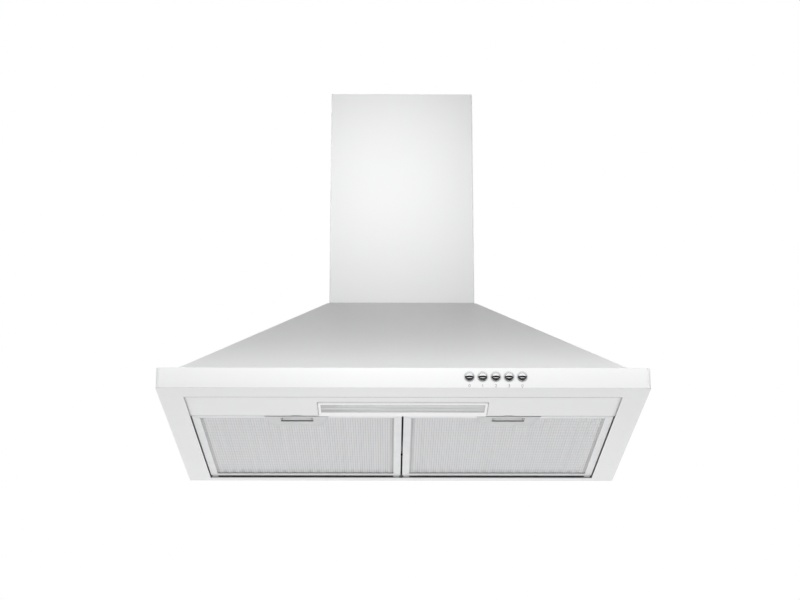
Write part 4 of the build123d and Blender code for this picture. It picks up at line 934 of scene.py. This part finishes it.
def meshNetwork(low, high):
    columns = round((high.x - low.x) / meshFace["shortWay"])
    rows = round((high.y - low.y) / meshFace["longWay"])
    pitchX = (high.x - low.x) / columns
    pitchY = (high.y - low.y) / rows
    middle = (low.z + high.z) / 2
    net = bmesh.new()
    corners = {}

    def holeCorners(i, j):
        # i counts half pitches along X, j along Y; a hole stands where both are odd or both even
        if (i, j) not in corners:
            x, y = low.x + i * pitchX / 2, low.y + j * pitchY / 2
            wide = pitchX / 2 - meshFace["halfStrand"]
            tall = pitchY / 2 - meshFace["halfJoint"]
            lean = meshFace["lean"]
            level = middle + (meshFace["crimp"] if i % 2 else -meshFace["crimp"])
            places = ((wide, 0, lean), (0, tall, 0), (-wide, 0, -lean), (0, -tall, 0))
            corners[(i, j)] = [net.verts.new((x + px, y + py, level + pz)) for px, py, pz in places]
        return corners[(i, j)]

    for i in range(-1, 2 * columns + 2):
        for j in range(-1, 2 * rows + 2):
            if (i + j) % 2:
                continue
            right, top, left, bottom = holeCorners(i, j)
            upRight, upLeft = holeCorners(i + 1, j + 1), holeCorners(i - 1, j + 1)
            downRight, nextHole = holeCorners(i + 1, j - 1), holeCorners(i + 2, j)
            net.faces.new((right, upRight[3], upRight[2], top))
            net.faces.new((left, top, upLeft[0], upLeft[3]))
            net.faces.new((right, downRight[1], nextHole[2], upRight[3]))
    return net


def cutNet(net, parts, point, normal, clear):
    bmesh.ops.bisect_plane(
        net, geom=parts, dist=meshFace["cutReach"], plane_co=point, plane_no=normal, clear_outer=clear,
    )


def cutAway(net, point, normal):
    cutNet(net, list(net.verts) + list(net.edges) + list(net.faces), point, normal, True)


def facesBefore(net, rear, centre, reach):
    # Faces in front of a line across the filter, and within some reach of its middle.
    found = []
    for face in net.faces:
        middle = face.calc_center_median()
        if middle.y < rear and abs(middle.x - centre) < reach:
            found.append(face)
    return found


def meshOf(thing):
    return bpy.data.meshes.new_from_object(thing.evaluated_get(bpy.context.evaluated_depsgraph_get()))


def buildMeshFace(side):
    node = "filter_mesh_" + side
    low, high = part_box(node)
    net = meshNetwork(low, high)
    cutAway(net, (high.x, 0, 0), (1, 0, 0))
    cutAway(net, (low.x, 0, 0), (-1, 0, 0))
    cutAway(net, (0, high.y, 0), (0, 1, 0))
    cutAway(net, (0, low.y, 0), (0, -1, 0))
    centre = (low.x + high.x) / 2
    reach, rear = meshFace["latchHalfWidth"], low.y + meshFace["latchDepth"]
    margin = 2 * meshFace["longWay"]
    for point, normal in (
        ((centre - reach, 0, 0), (1, 0, 0)),
        ((centre + reach, 0, 0), (1, 0, 0)),
        ((0, rear, 0), (0, 1, 0)),
    ):
        near = facesBefore(net, rear + margin, centre, reach + margin)
        parts = set(near)
        for f in near:
            parts.update(f.edges)
            parts.update(f.verts)
        cutNet(net, list(parts), point, normal, False)
    bmesh.ops.delete(net, geom=facesBefore(net, rear, centre, reach), context="FACES")
    mesh = bpy.data.meshes.new("meshFace_" + side)
    bmesh.ops.recalc_face_normals(net, faces=net.faces)
    net.to_mesh(mesh)
    net.free()
    sheet = bpy.data.objects.new("thinMesh", mesh)
    scene.collection.objects.link(sheet)
    thicken = sheet.modifiers.new("thicken", "SOLIDIFY")
    thicken.thickness = meshFace["thickness"]
    thicken.offset = 0
    finished = meshOf(sheet)
    bpy.data.objects.remove(sheet)
    finished.name = "meshFace_" + side
    face = bpy.data.objects.new("mesh_face_" + side, finished)
    scene.collection.objects.link(face)
    face.data.materials.append(strandAluminium)
    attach(face, "filter_" + side)
    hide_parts(node)
    print("mesh face", side, len(finished.polygons), "faces")


for side in ("left", "right"):
    buildMeshFace(side)

# Printed marks under the buttons.
marks = {
    "digits": [("0", 0.080), ("1", 0.096), ("2", 0.112), ("3", 0.128)],
    "lampX": 0.144,
    "height": 0.0027,  # centre of a mark above the rim
    "size": 0.0056,
    "face": -0.48002,
    "raise": 0.00002,
    "bulbRadius": 0.00125,
    "bulbTurn": 145,  # degrees of its arc to each side of the top
    "bulbRise": 0.0004,
    "bars": ((1.25, 0.55), (1.65, 0.55), (2.0, 0.3)),  # drop and half width, in bulb radii
    "line": 0.00034,
    "grainScale": 2500.0,
    "grain": 0.05,
    "dark": (0.27, 0.27, 0.275),
    "light": (0.33, 0.33, 0.335),
    "roughness": (0.45, 0.6),
}


def markMaterial():
    material, tree, shader = newMaterial("markInk")
    grain = useGroup(tree, mouldGrain, {"Grain Scale": marks["grainScale"]})
    ink = colourMix(tree, grain.outputs["Patch"], marks["dark"], marks["light"])
    tree.links.new(ink, shader.inputs["Base Color"])
    gloss = noiseTo(tree, grain.outputs["Patch"], *marks["roughness"])
    tree.links.new(gloss, shader.inputs["Roughness"])
    bumpInto(tree, shader, grain.outputs["Height"], marks["grain"], bumpDepths["ink"])
    return material


def addRibbon(net, points, width):
    pairs = []
    for k, point in enumerate(points):
        before, after = points[max(k - 1, 0)], points[min(k + 1, len(points) - 1)]
        along = (Vector(after) - Vector(before)).normalized()
        across = Vector((-along.y, along.x)) * width / 2
        edges = (Vector(point) + across, Vector(point) - across)
        pairs.append([net.verts.new((x, 0, z)) for x, z in edges])
    for a, b in zip(pairs, pairs[1:]):
        net.faces.new((a[0], a[1], b[1], b[0]))


def thickenFaces(net, depth):
    # Adds a front and a rim to flat faces, in a fixed order, so that each run gives the same mesh.
    flatFaces = list(net.faces)
    rim = [edge for edge in net.edges if edge.is_boundary]
    front = {}
    for v in list(net.verts):
        front[v] = net.verts.new((v.co.x, v.co.y - depth, v.co.z))
    for flat in flatFaces:
        net.faces.new([front[v] for v in flat.verts])
    for edge in rim:
        first, second = edge.verts
        net.faces.new((first, second, front[second], front[first]))


def buildMarks():
    net = bmesh.new()
    for text, x in marks["digits"]:
        curve = bpy.data.curves.new("digit", "FONT")
        curve.body = text
        curve.size = marks["size"]
        curve.align_x = "CENTER"
        curve.align_y = "CENTER"
        curve.resolution_u = 4
        holder = bpy.data.objects.new("digit", curve)
        scene.collection.objects.link(holder)
        bpy.context.view_layer.update()
        flat = meshOf(holder)
        flat.transform(Matrix.Translation((x, 0, marks["height"])) @ Matrix.Rotation(math.pi / 2, 4, "X"))
        net.from_mesh(flat)
        bpy.data.objects.remove(holder)
        bpy.data.meshes.remove(flat)
    x, z, r = marks["lampX"], marks["height"] + marks["bulbRise"], marks["bulbRadius"]
    turns = [math.radians(a) for a in range(-marks["bulbTurn"], marks["bulbTurn"] + 1, 10)]
    addRibbon(net, [(x + r * math.sin(t), z + r * math.cos(t)) for t in turns], marks["line"])
    for drop, reach in marks["bars"]:
        level = z - drop * r
        addRibbon(net, [(x - reach * r, level), (x + reach * r, level)], marks["line"])
    thickenFaces(net, marks["raise"])
    bmesh.ops.translate(net, verts=net.verts, vec=(0, marks["face"] + marks["raise"], 0))
    bmesh.ops.recalc_face_normals(net, faces=net.faces)
    mesh = bpy.data.meshes.new("button_marks")
    net.to_mesh(mesh)
    net.free()
    piece = bpy.data.objects.new("button_marks", mesh)
    scene.collection.objects.link(piece)
    mesh.materials.append(markMaterial())
    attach(piece, "hood")


buildMarks()
print("marks printed under the buttons")
